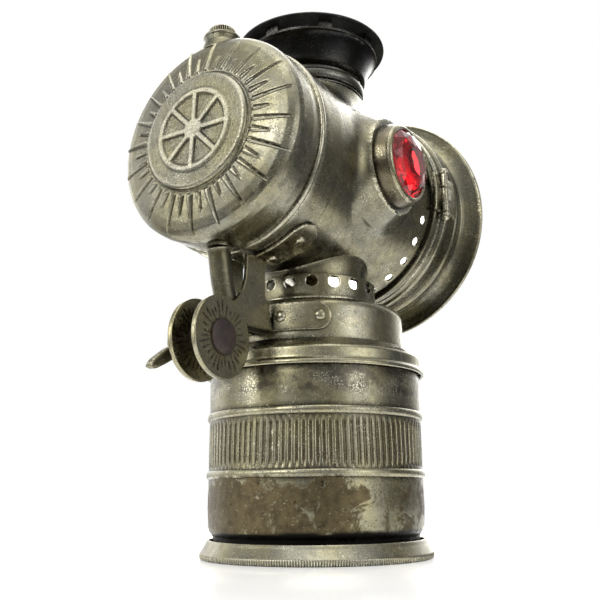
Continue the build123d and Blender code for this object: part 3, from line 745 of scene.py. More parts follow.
def make_dome():
    low, top, wide = DOME_LOW[2], DOME_HIGH[2], DOME_HIGH[0]
    neck = GALLERY_HIGH[0]
    outer = [(low, wide), (69.2, wide)]
    outer += [(69.2 + 3.2 * math.sin(a), wide - 3.2 + 3.2 * math.cos(a)) for a in np.linspace(0.15, 1.35, 9)]
    outer += [(72.9, neck + 2.2), (top, neck + 0.4), (top, 2.4)]

    turned("spun_dome", rounded(wall(outer), 1.2, 0.15, 2), 384, "generator_dome", "plain",
           shift=dents(0.06, 9, 20, 24))


def pierced_band(sectors, side, low, high, centre, hole, rings=4, plain=()):
    """Band round a shell with a round hole in each sector, as flat (along, arc in sectors, ring) cells.

    Returns (along, turn) points and faces, with `side` points along each edge of a cell; hole is the
    radius along the axis and in the turn angle; sectors listed in plain have no hole."""
    points, faces, rims = [], [], []
    hole_along, hole_turn = hole
    edge = []
    for k in range(side):
        edge.append((low, (k / side - 0.5)))
    for k in range(side):
        edge.append((low + (high - low) * k / side, 0.5))
    for k in range(side):
        edge.append((high, 0.5 - k / side))
    for k in range(side):
        edge.append((high - (high - low) * k / side, -0.5))
    edge = np.array(edge)
    width = TAU / sectors
    edge[:, 1] *= width
    direction = np.arctan2((edge[:, 0] - centre) / hole_along, edge[:, 1] / hole_turn)
    circle = np.column_stack([centre + hole_along * np.sin(direction), hole_turn * np.cos(direction)])
    count = len(edge)
    for sector in range(sectors):
        first = len(points)
        for ring in range(rings + 1):
            t = (ring / rings) ** 1.5
            block = circle * (1 - t) + edge * t
            block = block + np.array([0, sector * width])
            points += block.tolist()
        for ring in range(rings):
            for j in range(count):
                k = (j + 1) % count
                a = first + ring * count
                faces.append((a + j, a + k, a + count + k, a + count + j))
        rim = list(range(first, first + count))
        if sector in plain:
            faces.append(tuple(rim))
        else:
            rims.append(rim)
    return np.array(points), faces, rims


def pierced_shell(name, lower_rows, upper_rows, band, outside, inside, node, material, sectors, side,
                  sharp=40):
    """Shell of revolution with a pierced band between two stacks of plain rows.

    outside and inside turn arrays of (along, turn) into points."""
    columns = sectors * side
    points, faces, rims = band
    parts_points = [points]
    parts_faces = list(faces)
    offset = len(points)
    turn = (np.arange(columns) / side - 0.5) * TAU / sectors
    for rows in (lower_rows, upper_rows):
        grid = np.array([(a, t) for a in rows for t in turn])
        parts_points.append(grid)
        parts_faces += [tuple(offset + i for i in f) for f in grid_faces(len(rows), columns, False, True)]
        offset += len(grid)
    flat = np.vstack(parts_points)
    outer = outside(flat[:, 0], flat[:, 1])
    inner = inside(flat[:, 0], flat[:, 1])
    total = len(flat)
    faces = parts_faces + [tuple(total + i for i in f[::-1]) for f in parts_faces]
    for rim in rims:
        for j, a in enumerate(rim):
            b = rim[(j + 1) % len(rim)]
            faces.append((a, b, total + b, total + a))
    ends = [len(points), offset - columns]
    for start in ends:
        for j in range(columns):
            a, b = start + j, start + (j + 1) % columns
            faces.append((a, b, total + b, total + a))
    return finish_mesh(name, np.vstack([outer, inner]), faces, node, material, sharp=sharp)


def make_gallery():
    low, top, wide = GALLERY_LOW[2], GALLERY_HIGH[2], GALLERY_HIGH[0]
    sectors, side = GALLERY_HOLES, 10
    centre = 78.75
    band_low, band_high = 76.5, 80.75
    hole_r = 1.85
    phase = math.radians(1.4)
    shoulder = [(band_high, wide), (80.9, wide - 0.05), (81.05, wide - 0.3), (top, wide - 0.8)]

    def radius_at(along):
        table = np.array(shoulder)
        return np.interp(along, table[:, 0], table[:, 1])

    def outside(along, turn):
        r = radius_at(along) + 0.25 * np.exp(-((along - low - 0.4) / 0.6) ** 2)
        turn = turn + phase
        return np.column_stack([r * np.cos(turn), r * np.sin(turn), along])

    def inside(along, turn):
        r = radius_at(along) - SHEET
        turn = turn + phase
        return np.column_stack([r * np.cos(turn), r * np.sin(turn), along - 0.1])

    band = pierced_band(sectors, side, band_low, band_high, centre, (hole_r, hole_r / wide))
    lower = np.linspace(low, band_low, 7)
    upper = np.linspace(band_high, top, 5)
    pierced_shell("pierced_gallery", lower, upper, band, outside, inside, "gallery_ring", "shell",
                  sectors, side)
    turned("gallery_top", soften(wall([(top - 0.15, wide - 0.6), (top - 0.05, 16.4)], 0.5), 0.1), 180,
           "gallery_ring", "shell")


# ---- lamp head --------------------------------------------------------------
BARREL_REAR = BARREL_HIGH[1]
BARREL_FRONT = BARREL_LOW[1]
BARREL_REAR_R = 29.6
BARREL_FRONT_R = 33.2
NECK_R = 16.6
NECK_TOP = 145.1


def barrel_radius(along):
    """Radius of the barrel at a place along its axis."""
    s = np.clip((BARREL_REAR - along) / (BARREL_REAR - BARREL_FRONT), 0, 1)
    return BARREL_REAR_R + (BARREL_FRONT_R - BARREL_REAR_R) * s ** 3.2


def smooth_union(a, b, size):
    """Smooth minimum of two distances, with a fillet of about `size`."""
    h = np.clip(0.5 + 0.5 * (b - a) / size, 0, 1)
    return b + (a - b) * h - size * h * (1 - h)


def barrel_height(along, turn):
    """Distance of the barrel's skin from its axis, with the neck and the jewel bosses raised from it."""
    across = np.sin(turn)
    upward = np.cos(turn)
    base = barrel_radius(along)
    steps = np.linspace(27.5, 38.5, 180)
    previous = None
    found = base.copy()
    for r in steps:
        x, z = r * across, r * upward
        body = r - base
        neck = np.maximum(np.hypot(x, along) - NECK_R, z - (NECK_TOP - HEAD_Z))
        neck = np.where(z > 0, neck, 60.0)
        solid = smooth_union(body, neck, NECK_FILLET)
        off_axis = np.hypot(along - JEWEL_Y, z)
        side = np.abs(x)
        swell = np.maximum(off_axis - BOSS_R - 0.6 * np.clip(32.0 - side, 0, 6), side - BOSS_OUT)
        solid = smooth_union(solid, swell, BOSS_FILLET)
        if previous is not None:
            crossed = (previous < 0) & (solid >= 0)
            share = previous / np.where(crossed, previous - solid, 1)
            found = np.where(crossed, r - (steps[1] - steps[0]) * (1 - share), found)
        previous = solid
    return np.maximum(found, base)


def make_barrel():
    sectors, side = VENTS, 16
    centre = -17.6
    band_low, band_high = -19.7, -15.5
    phase = 0.61 * TAU / sectors
    hole_r = 1.32

    def place(r, along, turn):
        angle = math.pi + turn + phase
        return np.column_stack([r * np.sin(angle), along, HEAD_Z + r * np.cos(angle)])

    def outside(along, turn):
        r = barrel_height(along, math.pi + turn + phase)
        r = r + 0.08 * wobble(along, turn, 11)
        r = r - 0.25 * np.exp(-((along - BARREL_FRONT) / 0.35) ** 2)
        return place(r, along, turn)

    def inside(along, turn):
        return place(barrel_radius(along) - SHEET, along, turn)

    behind_leaf = [k for k in range(sectors)
                   if abs(math.cos(k * TAU / sectors + phase)) * 33 < LEAF_HIGH[2] - HEAD_Z + 1
                   and math.sin(k * TAU / sectors + phase) > 0]
    band = pierced_band(sectors, side, band_low, band_high, centre, (hole_r, hole_r / 32.3),
                        plain=behind_leaf)
    lower = np.linspace(BARREL_FRONT, band_low, 4)
    upper = np.linspace(band_high, BARREL_REAR, 100)
    barrel = pierced_shell("lamp_barrel", lower, upper, band, outside, inside, "barrel", "shell",
                           sectors, side, sharp=50)
    carve(barrel, cylinder_mesh(NECK_R - SHEET, 10, 60, frame_of(0, 0, HEAD_Z, "up")))
    carve(barrel, cylinder_mesh(16.0, -60, -10, frame_of(0, 0, HEAD_Z, "up")))
    carve(barrel, cylinder_mesh(JEWEL_R - 0.6, -60, 60, RIGHT_SIDE))
    for side_frame, tag in ((RIGHT_SIDE, "red"), (LEFT_SIDE, "green")):
        outer = [(29.6, 13.05), (31.8, 12.95), (33.4, 12.75), (34.8, 12.45), (36.0, 12.1), (JEWEL_RIM, 11.7)]
        turned("jewel_cup_" + tag, soften(wall(outer, 1.1), 0.2), 160, "barrel", "stained",
               matrix=side_frame)


def make_saddle():
    """Neck between the gallery and the underside of the barrel, flared where it meets the barrel."""
    low = GALLERY_HIGH[2] - 0.4
    count = 192
    turn = np.arange(count) * TAU / count
    rows = 14
    rings = []
    radius = 16.7
    for k in range(rows + 1):
        t = k / rows
        flare = 0.9 * t ** 4
        x = (radius + flare) * np.cos(turn)
        y = (radius + flare) * np.sin(turn)
        meet = HEAD_Z - np.sqrt(np.maximum(barrel_radius(y) ** 2 - x ** 2, 1)) + 0.5
        rings.append(np.column_stack([x, y, low + (np.maximum(meet, low + 0.3) - low) * t]))
    inner = [ring * np.array([0.957, 0.957, 1]) for ring in rings[::-1]]
    verts = np.vstack(rings + inner)
    finish_mesh("saddle_neck", verts, grid_faces(2 * (rows + 1), count, True, True), "neck_saddle",
                "shell")


# the pan's back leans: its top, and the side with the red jewel, are pushed towards the barrel
PAN_TILT = (0.056, 0.030)


def make_tank():
    """Pan behind the barrel: domed back with rays round a raised medallion."""
    rear = TANK_HIGH[1]
    wide = TANK_HIGH[0]
    count = RAYS * 22
    face = rear - 1.5
    profile = [(TANK_LOW[1], wide - 0.1), (TANK_LOW[1] + 0.6, wide), (45.5, wide + 0.3), (50.6, wide + 0.25),
               (52.2, wide - 0.1), (53.3, wide - 0.9), (54.2, wide - 2.2), (55.1, wide - 4.6),
               (55.9, wide - 7.6), (56.5, wide - 10.4), (56.7, MEDAL_R + 1.3), (56.6, MEDAL_R + 0.6),
               (56.8, MEDAL_R + 0.1)]
    profile += [(face - 0.45, MEDAL_R - 0.1), (face - 0.12, MEDAL_R - 0.5), (face, MEDAL_R - 1.1),
                (face, 0.01)]

    def relief_parts(along, radius, turn):
        lift = np.zeros(radius.shape)
        shade_and_grime = np.zeros(radius.shape)
        on_back = step_between(along, 51.0, 53.4)
        for k in range(RAYS):
            angle = TAU * (k + 0.5) / RAYS
            outer = (28.9 if k % 2 else 23.4) + 0.9 * math.sin(7 * k)
            side = ((turn - angle + math.pi) % TAU - math.pi) * radius
            reach = np.clip((outer - radius) / (outer - MEDAL_R - 1.2), 0, 1)
            width = 0.20 + (0.80 + 0.22 * math.sin(3.7 * k)) * reach
            inside = step_between(radius, MEDAL_R + 1.0, MEDAL_R + 1.8)
            inside = inside * step_between(outer - radius, 0, 1.5)
            lift += inside * 0.46 * np.exp(-(side / (0.48 * width)) ** 2)
            trough = inside * np.exp(-((side - 0.95 * width) / 0.26) ** 2)
            lift -= 0.30 * trough
            # The troughs beside the rays are darkened: painted shade and grime.
            shade_and_grime += 0.85 * trough * reach ** 0.5
        wheel = wheel_relief(radius, turn, WHEEL_R)
        # Darker along the wheel's sloping sides, and painted shade just outside the medallion's rim.
        shade_and_grime += 3.4 * wheel * (1 - wheel)
        shade_and_grime += 0.9 * np.exp(-((radius - MEDAL_R - 0.55) / 0.35) ** 2)
        # Brightened: rub on the raised rays and the wheel, and a painted highlight round the medallion's rim.
        wear_and_painted_light = 0.9 * np.clip(lift, 0, 0.5) + 0.45 * np.exp(-((radius - MEDAL_R + 0.75) / 0.4) ** 2)
        wear_and_painted_light += 0.5 * wheel_relief(radius, turn, WHEEL_R, -0.35)
        return (lift + 0.75 * wheel) * on_back, (shade_and_grime - wear_and_painted_light) * on_back, on_back

    def relief(along, radius, turn):
        lift, _, on_back = relief_parts(along, radius, turn)
        dent = 0.10 * wobble(radius, turn, 13) * on_back + 0.06 * wobble(along, turn, 4)
        lean = radius * (PAN_TILT[0] * np.sin(turn) + PAN_TILT[1] * np.cos(turn))
        lean = lean * step_between(along, TANK_LOW[1] + 1.5, 53.0)
        return along + lift - lean + 0.5 * dent * on_back, radius + 0.6 * dent * (1 - on_back)

    def marks_and_shade_of(along, radius, turn):
        return relief_parts(along, radius, turn)[1]

    outer = rounded(profile, 0.40, 0.3, closed=False)
    turned("sunburst_tank", outer, count, "tank_back", "tank", matrix=HEAD, shift=relief, closed=False,
           sharp=60, marks_and_shade=marks_and_shade_of)


def wheel_relief(radius, turn, size, grow=0.0):
    """Plain eight-spoked wheel: rim, spokes and hub, raised by 1 with soft sides."""
    soft = 0.28
    rim = step_between(0.95 + grow - np.abs(radius - size + 0.95), -soft, soft)
    hub = step_between(3.1 + grow - radius, -soft, soft)
    spacing = TAU / 8
    off = np.abs((turn + spacing / 2) % spacing - spacing / 2) * radius
    spokes = step_between(0.85 + grow - off, -soft, soft) * step_between(size - 0.5 - radius, -soft, soft)
    return np.maximum(np.maximum(rim, hub), spokes)


def make_tank_front():
    low, high, wide = BAND_LOW[1], BAND_HIGH[1], BAND_HIGH[0]
    outline = [(low, 0.01), (low, wide - 0.1), (low + 0.4, wide), (high, wide), (high, wide - SHEET),
               (low + SHEET, wide - SHEET), (low + SHEET, 0.01)]

    turned("tank_band", rounded(outline, 2.0, 0.15, 2, closed=False), 320, "tank_front",
           "shell", matrix=HEAD, closed=False, shift=dents(0.05, 15, 25, 29))
    low, high, wide = SEAM_LOW[1], SEAM_HIGH[1], SEAM_HIGH[0]
    middle = (low + high) / 2
    outline = arc(middle, wide - 0.75, 0.95, 0.75, math.pi, 0, 9) + [(high, 29.1), (low, 29.1)]

    def rough(along, radius, turn):
        return along, radius + (0.06 * wobble(along * 3, turn * 9, 2)) * step_between(radius, 29.5, 30)

    turned("seam_bead", outline, 640, "tank_seam_ring", "plain", matrix=HEAD, shift=rough)


def make_valve():
    axis = frame_of(0, VALVE_Y, 0, "up")
    top = KNOB_HIGH[2] - 0.5
    low = KNOB_LOW[2]
    wide = 3.95
    teeth = 44
    outline = [(low, 0.01), (low, wide - 0.7), (low + 0.5, wide - 0.2), (top - 2.9, wide - 0.2),
               (top - 2.5, wide), (top - 0.9, wide), (top - 0.35, wide - 0.5), (top - 0.1, wide - 1.4),
               (top, 0.01)]

    def knurl(along, radius, turn):
        side = step_between(radius, wide - 0.6, wide - 0.1) * step_between(along, top - 2.8, top - 2.5)
        return along, radius - 0.40 * (1 - ridge_wave(turn, teeth, 0.7)) * side

    turned("knurled_knob", rounded(outline, 0.5, 0.2, closed=False), teeth * 10, "valve_knob",
           "fitting", matrix=axis, closed=False, shift=knurl, sharp=60)
    lip = top - 3.0
    floor = low - 0.15
    outline = [(floor - 4.6, 5.9), (floor - 2.4, 5.4), (floor - 1.8, 5.2), (lip - 1.0, 5.15),
               (lip - 0.7, 5.4), (lip - 0.1, 5.35), (lip, 4.9), (lip, 4.35), (floor, 4.3), (floor, 1.35),
               (floor - 4.6, 1.35)]

    def dented(along, radius, turn):
        return along, radius + 0.06 * wobble(along * 4, turn, 17) * step_between(radius, 4.6, 5.0)

    turned("valve_gland_collar", rounded(outline, 0.6, 0.15), 120, "valve_gland", "shell", matrix=axis,
           shift=dented)


def make_water_tube():
    """Tube from the tank's underside, between the bracket plates and into the dome."""
    knots = [Vector(p) for p in ((0, 46.9, 82.4), (0, 46.0, 78.0), (0, 44.9, 73.0), (0, 43.0, 68.6),
                                 (0, 39.0, 65.8), (0, 34.0, 65.2), (0, 27.0, 65.2), (0, 24.0, 65.2))]
    route = []
    for i in range(len(knots) - 1):
        before = knots[max(i - 1, 0)]
        after = knots[min(i + 2, len(knots) - 1)]
        for t in np.linspace(0, 1, 7)[:-1]:
            a, b = knots[i], knots[i + 1]
            route.append(0.5 * (2 * a + (b - before) * t + (2 * before - 5 * a + 4 * b - after) * t ** 2
                                + (3 * a - before - 3 * b + after) * t ** 3))
    route.append(knots[-1])
    count = 40
    turn = np.arange(count) * TAU / count
    sections = []
    for i, p in enumerate(route):
        ahead = (route[min(i + 1, len(route) - 1)] - route[max(i - 1, 0)]).normalized()
        normal = Vector((1, 0, 0)).cross(ahead).normalized()
        swell = 3.1 + 0.35 * math.exp(-((p.z - 82.6) / 0.9) ** 2)
        ring = [p + Vector((1, 0, 0)) * swell * math.cos(a) + normal * swell * math.sin(a) for a in turn]
        sections.append([tuple(q) for q in ring])
    loft("water_tube_skin", sections, "water_tube", "dull")


# ---- chimney ----------------------------------------------------------------
def make_chimney():
    low = NECK_LOW[2]
    middle = (low + NECK_HIGH[2]) / 2 - 0.1
    half = (NECK_HIGH[2] - low) / 2 - 1.1
    bead = arc(middle, 16.7, half, 1.2, math.pi, 0, 17)
    outer = [(low, 17.2), (low + 0.4, 17.25), (low + 0.75, 16.8)] + bead + [(NECK_HIGH[2], 16.7)]

    turned("chimney_bead", rounded(wall(outer, 0.6), 0.8, 0.15, 2), 256, "chimney_base", "flue",
           shift=dents(0.05, 21))
    low, top, wide = BOWL_LOW[2], BOWL_HIGH[2], BOWL_HIGH[0]
    outer = [(low, 17.0), (low + 0.5, 17.7), (low + 1.0, 18.35)]
    outer += [(low + 1.2 + 8.0 * math.sin(a), 18.4 + 4.2 * (1 - math.cos(a)) ** 0.62)
              for a in np.linspace(0.15, 1.45, 12)]
    outer += [(top, wide)]

    turned("chimney_flare", rounded(wall(outer, 0.6), 0.9, 0.2, 2), 288, "chimney_bowl", "chimney",
           shift=dents(0.05, 21))
    make_cage()
    low, top, wide = CAP_LOW[2], CAP_HIGH[2], CAP_HIGH[0]
    outline = [(low, 0.01), (low, wide - 0.5), (low + 0.12, wide - 0.1), (low + 0.4, wide),
               (low + 0.75, wide - 0.15), (low + 0.95, wide - 0.8), (low + 1.15, wide - 4), (top - 0.1, 10),
               (top, 0.01)]
    turned("chimney_lid", rounded(outline, 1.5, 0.2, closed=False), 288, "chimney_cap",
           "soot", closed=False)


def make_cage():
    """Short slotted wall that carries the lid."""
    low, top, wide = CAGE_LOW[2], CAGE_HIGH[2], CAGE_HIGH[0]
    slots, slot_degrees = 8, 34
    strut_half = math.radians((360 / slots - slot_degrees) / 2)
    section = []
    for k in range(slots):
        middle = TAU * k / slots
        section.append((middle - strut_half, middle + strut_half))
    verts, faces = [], []

    def block(start, end, z_low, z_high, parts):
        first = len(verts)
        for i in range(parts + 1):
            a = start + (end - start) * i / parts
            for r, z in ((wide - 0.6, z_low), (wide, z_low), (wide, z_high), (wide - 0.6, z_high)):
                verts.append((r * math.cos(a), r * math.sin(a), z))
        for i in range(parts):
            p = first + 4 * i
            for j in range(4):
                k = (j + 1) % 4
                faces.append((p + j, p + k, p + 4 + k, p + 4 + j))
        faces.append(tuple(first + j for j in range(4)))
        faces.append(tuple(first + 4 * parts + j for j in range(4)))

    for start, end in section:
        block(start, end, low - 0.2, top + 0.1, 10)
    block(0, TAU, low - 0.2, low + 0.45, 160)
    finish_mesh("chimney_cage_wall", verts, faces, "chimney_cage", "chimney", weld=False)


# ---- jewels -----------------------------------------------------------------
def make_jewel(tag, side_frame, body_material):
    """Round stone with a faceted crown and a shallow faceted back."""
    rim = JEWEL_RIM
    sides = 12
    levels = [(rim - 3.2, 2.0, 0.0), (rim - 1.9, 6.6, 0.5), (rim - 0.6, 9.6, 0.0),
              (rim + 0.15, JEWEL_R - 0.1, 0.5), (rim + 0.9, JEWEL_R - 0.35, 0.0), (rim + 2.7, 8.1, 0.5),
              (rim + 3.9, 4.6, 0.0)]
    verts, faces = [], []
    for along, radius, half in levels:
        for k in range(sides):
            a = TAU * (k + half) / sides
            verts.append((radius * math.cos(a), radius * math.sin(a), along))
    for i in range(len(levels) - 1):
        lead = 1 if levels[i][2] > levels[i + 1][2] else 0
        for k in range(sides):
            a, b = i * sides + k, i * sides + (k + 1) % sides
            if lead:
                c, d = (i + 1) * sides + (k + 1) % sides, (i + 1) * sides + k
                faces += [(a, c, d), (a, b, c)]
            else:
                c, d = (i + 1) * sides + k, (i + 1) * sides + (k - 1) % sides
                faces += [(a, c, d), (a, b, c)]
    faces.append(tuple(range(sides))[::-1])
    faces.append(tuple((len(levels) - 1) * sides + k for k in range(sides)))
    node = "jewel_" + tag
    piece = finish_mesh("cut_" + node, place_points(verts, side_frame), faces, node, body_material,
                        weld=False, sharp=5)
    piece.data.polygons.foreach_set("use_smooth", [False] * len(piece.data.polygons))
    outline = [(rim - 0.2, 11.95), (rim + 0.5, 11.6), (rim + 0.95, 11.0), (rim + 0.75, 10.25),
               (rim - 0.2, 10.55)]
    turned("claw_ring_" + tag, soften(outline, 0.2), 160, "bezel_" + tag, "fitting", matrix=side_frame)


# ---- front ring, door and hinge ---------------------------------------------
def hinge_cut(piece):
    """Notch for the hinge knuckles."""
    half = (LEAF_HIGH[2] - LEAF_LOW[2]) / 2 + 0.2
    cut(piece, (-60, HINGE_Y - 1.6, HEAD_Z - half), (HINGE_X + 1.6, HINGE_Y + 1.6, HEAD_Z + half))


def make_front_ring():
    rear, front = RING_HIGH[1], -24.35
    outline = [(rear, 32.6), (rear - 0.02, 33.2), (rear - 0.15, 33.7)]
    outline += arc(rear - 1.25, 33.95, 1.1, 0.75, 0.1, 2.5, 9)
    outline += [(-22.6, 34.35), (front, 34.45), (front, 33.85), (RING_LOW[1], 33.85), (RING_LOW[1], 33.15),
                (-21.6, 33.15)]

    def marks_and_shade_of(along, radius, turn):
        return 1.2 * step_between(along, rear - 0.75, rear - 0.25)

    piece = turned("fixed_front_ring", rounded(outline, 0.6, 0.15, 2), 420, "front_ring", "shell",
                   matrix=HEAD, shift=dents(0.06, 31, 33.9, 34.4), marks_and_shade=marks_and_shade_of)
    hinge_cut(piece)


def make_door():
    rear, wide = DOOR_HIGH[1], DOOR_HIGH[0]
    outer = [(rear, 34.3), (rear - 0.25, 34.65), (rear - 0.9, 34.8), (-26.0, 34.95)]
    outer += arc(-27.5, 34.95, 1.3, 0.95, 0.15, math.pi - 0.15, 11)
    outer += [(-29.4, 35.0), (-33.5, 34.75), (-35.4, 34.8)]
    outer += arc(-37.2, 34.7, 1.6, 0.65, 0.3, math.pi - 0.3, 9)
    outer += [(-39.6, 34.45), (-40.8, 34.75), (-41.8, 35.9), (-42.7, 37.6), (-43.4, 39.4), (-43.75, 40.3)]
    outer += arc(-44.3, wide - 0.62, 0.62, 0.62, 0.2, 1.35 * math.pi, 12)
    inner = [(-43.9, 38.9), (-43.2, 37.0), (-42.2, 34.9), (-40.8, 33.9), (-38.4, 34.0), (-34.0, 34.2),
             (-28.8, 34.3), (rear, 34.0)]

    def buckled(along, radius, turn):
        flange = 0.10 * wobble(radius * 0.3, turn, 33) * step_between(radius, 36, 40)
        return along + flange, radius + 0.06 * wobble(along, turn, 35)

    def marks_and_shade_of(along, radius, turn):
        # The flange's rear face is darkened, more on one side of the turn; the lip term darkens the joint at
        # the door's rear edge.
        back = step_between(radius, 35.3, 38.6) * step_between(-along, 40.2, 41.4)
        back = back * step_between(-radius, -40.6, -40.3)
        lip = 0.8 * step_between(along, rear - 0.35, rear - 0.1)
        return back * (0.95 - 0.25 * np.cos(turn - 0.6)) + lip

    piece = turned("door_shell", divide(np.array(outer + inner), 0.6), 480, "door_hood", "shell",
                   matrix=HEAD, shift=buckled, marks_and_shade=marks_and_shade_of)
    hinge_cut(piece)
    curve = [(LENS_HIGH[1] - 4.8 * (r / LENS_HIGH[0]) ** 2 * 0.55, r)
             for r in np.linspace(0.01, LENS_HIGH[0], 26)]
    back = [(LENS_LOW[1], LENS_HIGH[0]), (LENS_LOW[1], 0.01)]
    turned("door_glass", divide(curve + back, 2.5, closed=False), 192, "door_lens", "clear", matrix=HEAD,
           closed=False)


def leaf(name, node, y_front, y_rear, radius, knuckles, tab_y):
    """Hinge leaf curved to the ring, with its knuckles."""
    half = (LEAF_HIGH[2] - LEAF_LOW[2]) / 2
    section = rounded_box_section(1, 1, 0.35)
    rows = np.linspace(-half, half, 15)
    sections = []
    for z in rows:
        skin = math.sqrt(radius ** 2 - z ** 2)
        middle = (y_front + y_rear) / 2
        width = (y_rear - y_front) / 2
        ring = [(-(skin + 0.4 + 0.4 * v), middle + width * u, HEAD_Z + z) for u, v in section]
        sections.append(ring)
    loft(name, sections, node, "fitting")
    axis = frame_of(HINGE_X, HINGE_Y, 0, "up")
    for i, (low, high) in enumerate(knuckles):
        outline = [(low, 0.8), (low, 1.3), (high, 1.3), (high, 0.8)]
        turned(f"{name}_knuckle_{i}", soften(outline, 0.15), 48, node, "fitting", matrix=axis)
        tab = rounded_box_section(0.42, abs(tab_y) / 2, 0.12)
        rings = [[(HINGE_X - 0.55 + u, HINGE_Y + tab_y / 2 + v, z) for u, v in tab]
                 for z in (low + 0.05, high - 0.05)]
        loft(f"{name}_tab_{i}", rings, node, "fitting")


def make_hinge():
    low, high = LEAF_LOW[2], LEAF_HIGH[2]
    split = 2.0
    gap = 0.15
    leaf("fixed_leaf", "hinge_leaf_fixed", LEAF_LOW[1] + 2.6, LEAF_HIGH[1] + 1.4, 34.75,
         ((low, HEAD_Z - split - gap), (HEAD_Z + split + gap, high)), 2.2)
    leaf("door_leaf", "hinge_leaf_door", -33.2, HINGE_Y - 1.8, 35.55, ((HEAD_Z - split, HEAD_Z + split),),
         -3.0)
    axis = frame_of(HINGE_X, HINGE_Y, 0, "up")
    ball = 1.6
    outline = [(PIN_LOW[2], 0.01)]
    outline += [(low - 1.2 - ball * math.cos(a), ball * math.sin(a)) for a in np.linspace(0.2, 2.6, 9)]
    outline += [(low - 0.05, 0.7), (high + 0.05, 0.7)]
    outline += [(high + 1.2 - ball * math.cos(a), ball * math.sin(a)) for a in np.linspace(0.6, 2.95, 9)]
    outline += [(PIN_HIGH[2], 0.01)]
    turned("hinge_pin_turned", outline, 40, "hinge_pin", "fitting", matrix=axis, closed=False)


def make_catch():
    """Spring tongue on the door that snaps over the fixed ring, opposite the hinge."""
    low, high = CATCH_LOW[1] + 0.1, CATCH_HIGH[1]
    skin = CATCH_HIGH[0] - 0.35
    section = rounded_box_section(1, 1, 0.4)

    def strip(name, stops, half_at, radius_at, thick):
        sections = []
        for y in stops:
            half, radius = half_at(y), radius_at(y)
            ring = []
            for u, v in section:
                r = radius + thick * v
                angle = half * u / radius
                ring.append((r * math.cos(angle), y, HEAD_Z + r * math.sin(angle)))
            sections.append(ring)
        loft(name, sections, "door_catch", "fitting")

    def tongue_half(y):
        t = (y - low) / (high - low)
        end = math.sqrt(max(0.02, 1 - (max(0.0, t - 0.86) / 0.14) ** 2))
        start = math.sqrt(max(0.02, 1 - (max(0.0, 0.08 - t) / 0.08) ** 2))
        return (3.9 - 1.0 * math.sin(math.pi * min(1.0, t * 1.08)) ** 2) * end * start

    strip("catch_tongue", np.linspace(low, high, 34), tongue_half, lambda y: skin, 0.33)
    strip("catch_foot", np.linspace(low + 0.3, low + 3.2, 6), lambda y: 3.2, lambda y: skin - 0.95, 0.75)
    rivet("catch_rivet", "door_catch", (skin + 0.3, low + 1.9, HEAD_Z), (1, 0, 0), 1.2, 0.7)


# ---- cycle bracket ----------------------------------------------------------
def strap(name, node, centre, half_width, thickness, surface, start, end):
    """Flat strip laid on a surface from arc length start to end, with a round far end."""
    section = rounded_box_section(1, thickness / 2, 0.22)
    stops = list(np.linspace(start, end - half_width, 22))
    stops += [end - half_width + half_width * math.sin(a) for a in np.linspace(0.12, math.pi / 2 - 0.03, 10)]
    sections = []
    for u in stops:
        inside = min(1.0,
                     max(0.02, math.sqrt(max(0.0, 1 - (max(0.0, u - end + half_width) / half_width) ** 2))))
        sections.append([surface(u, centre + half_width * inside * v, thickness / 2 + h) for v,
                         h in section])
    loft(name, sections, node, "fitting")


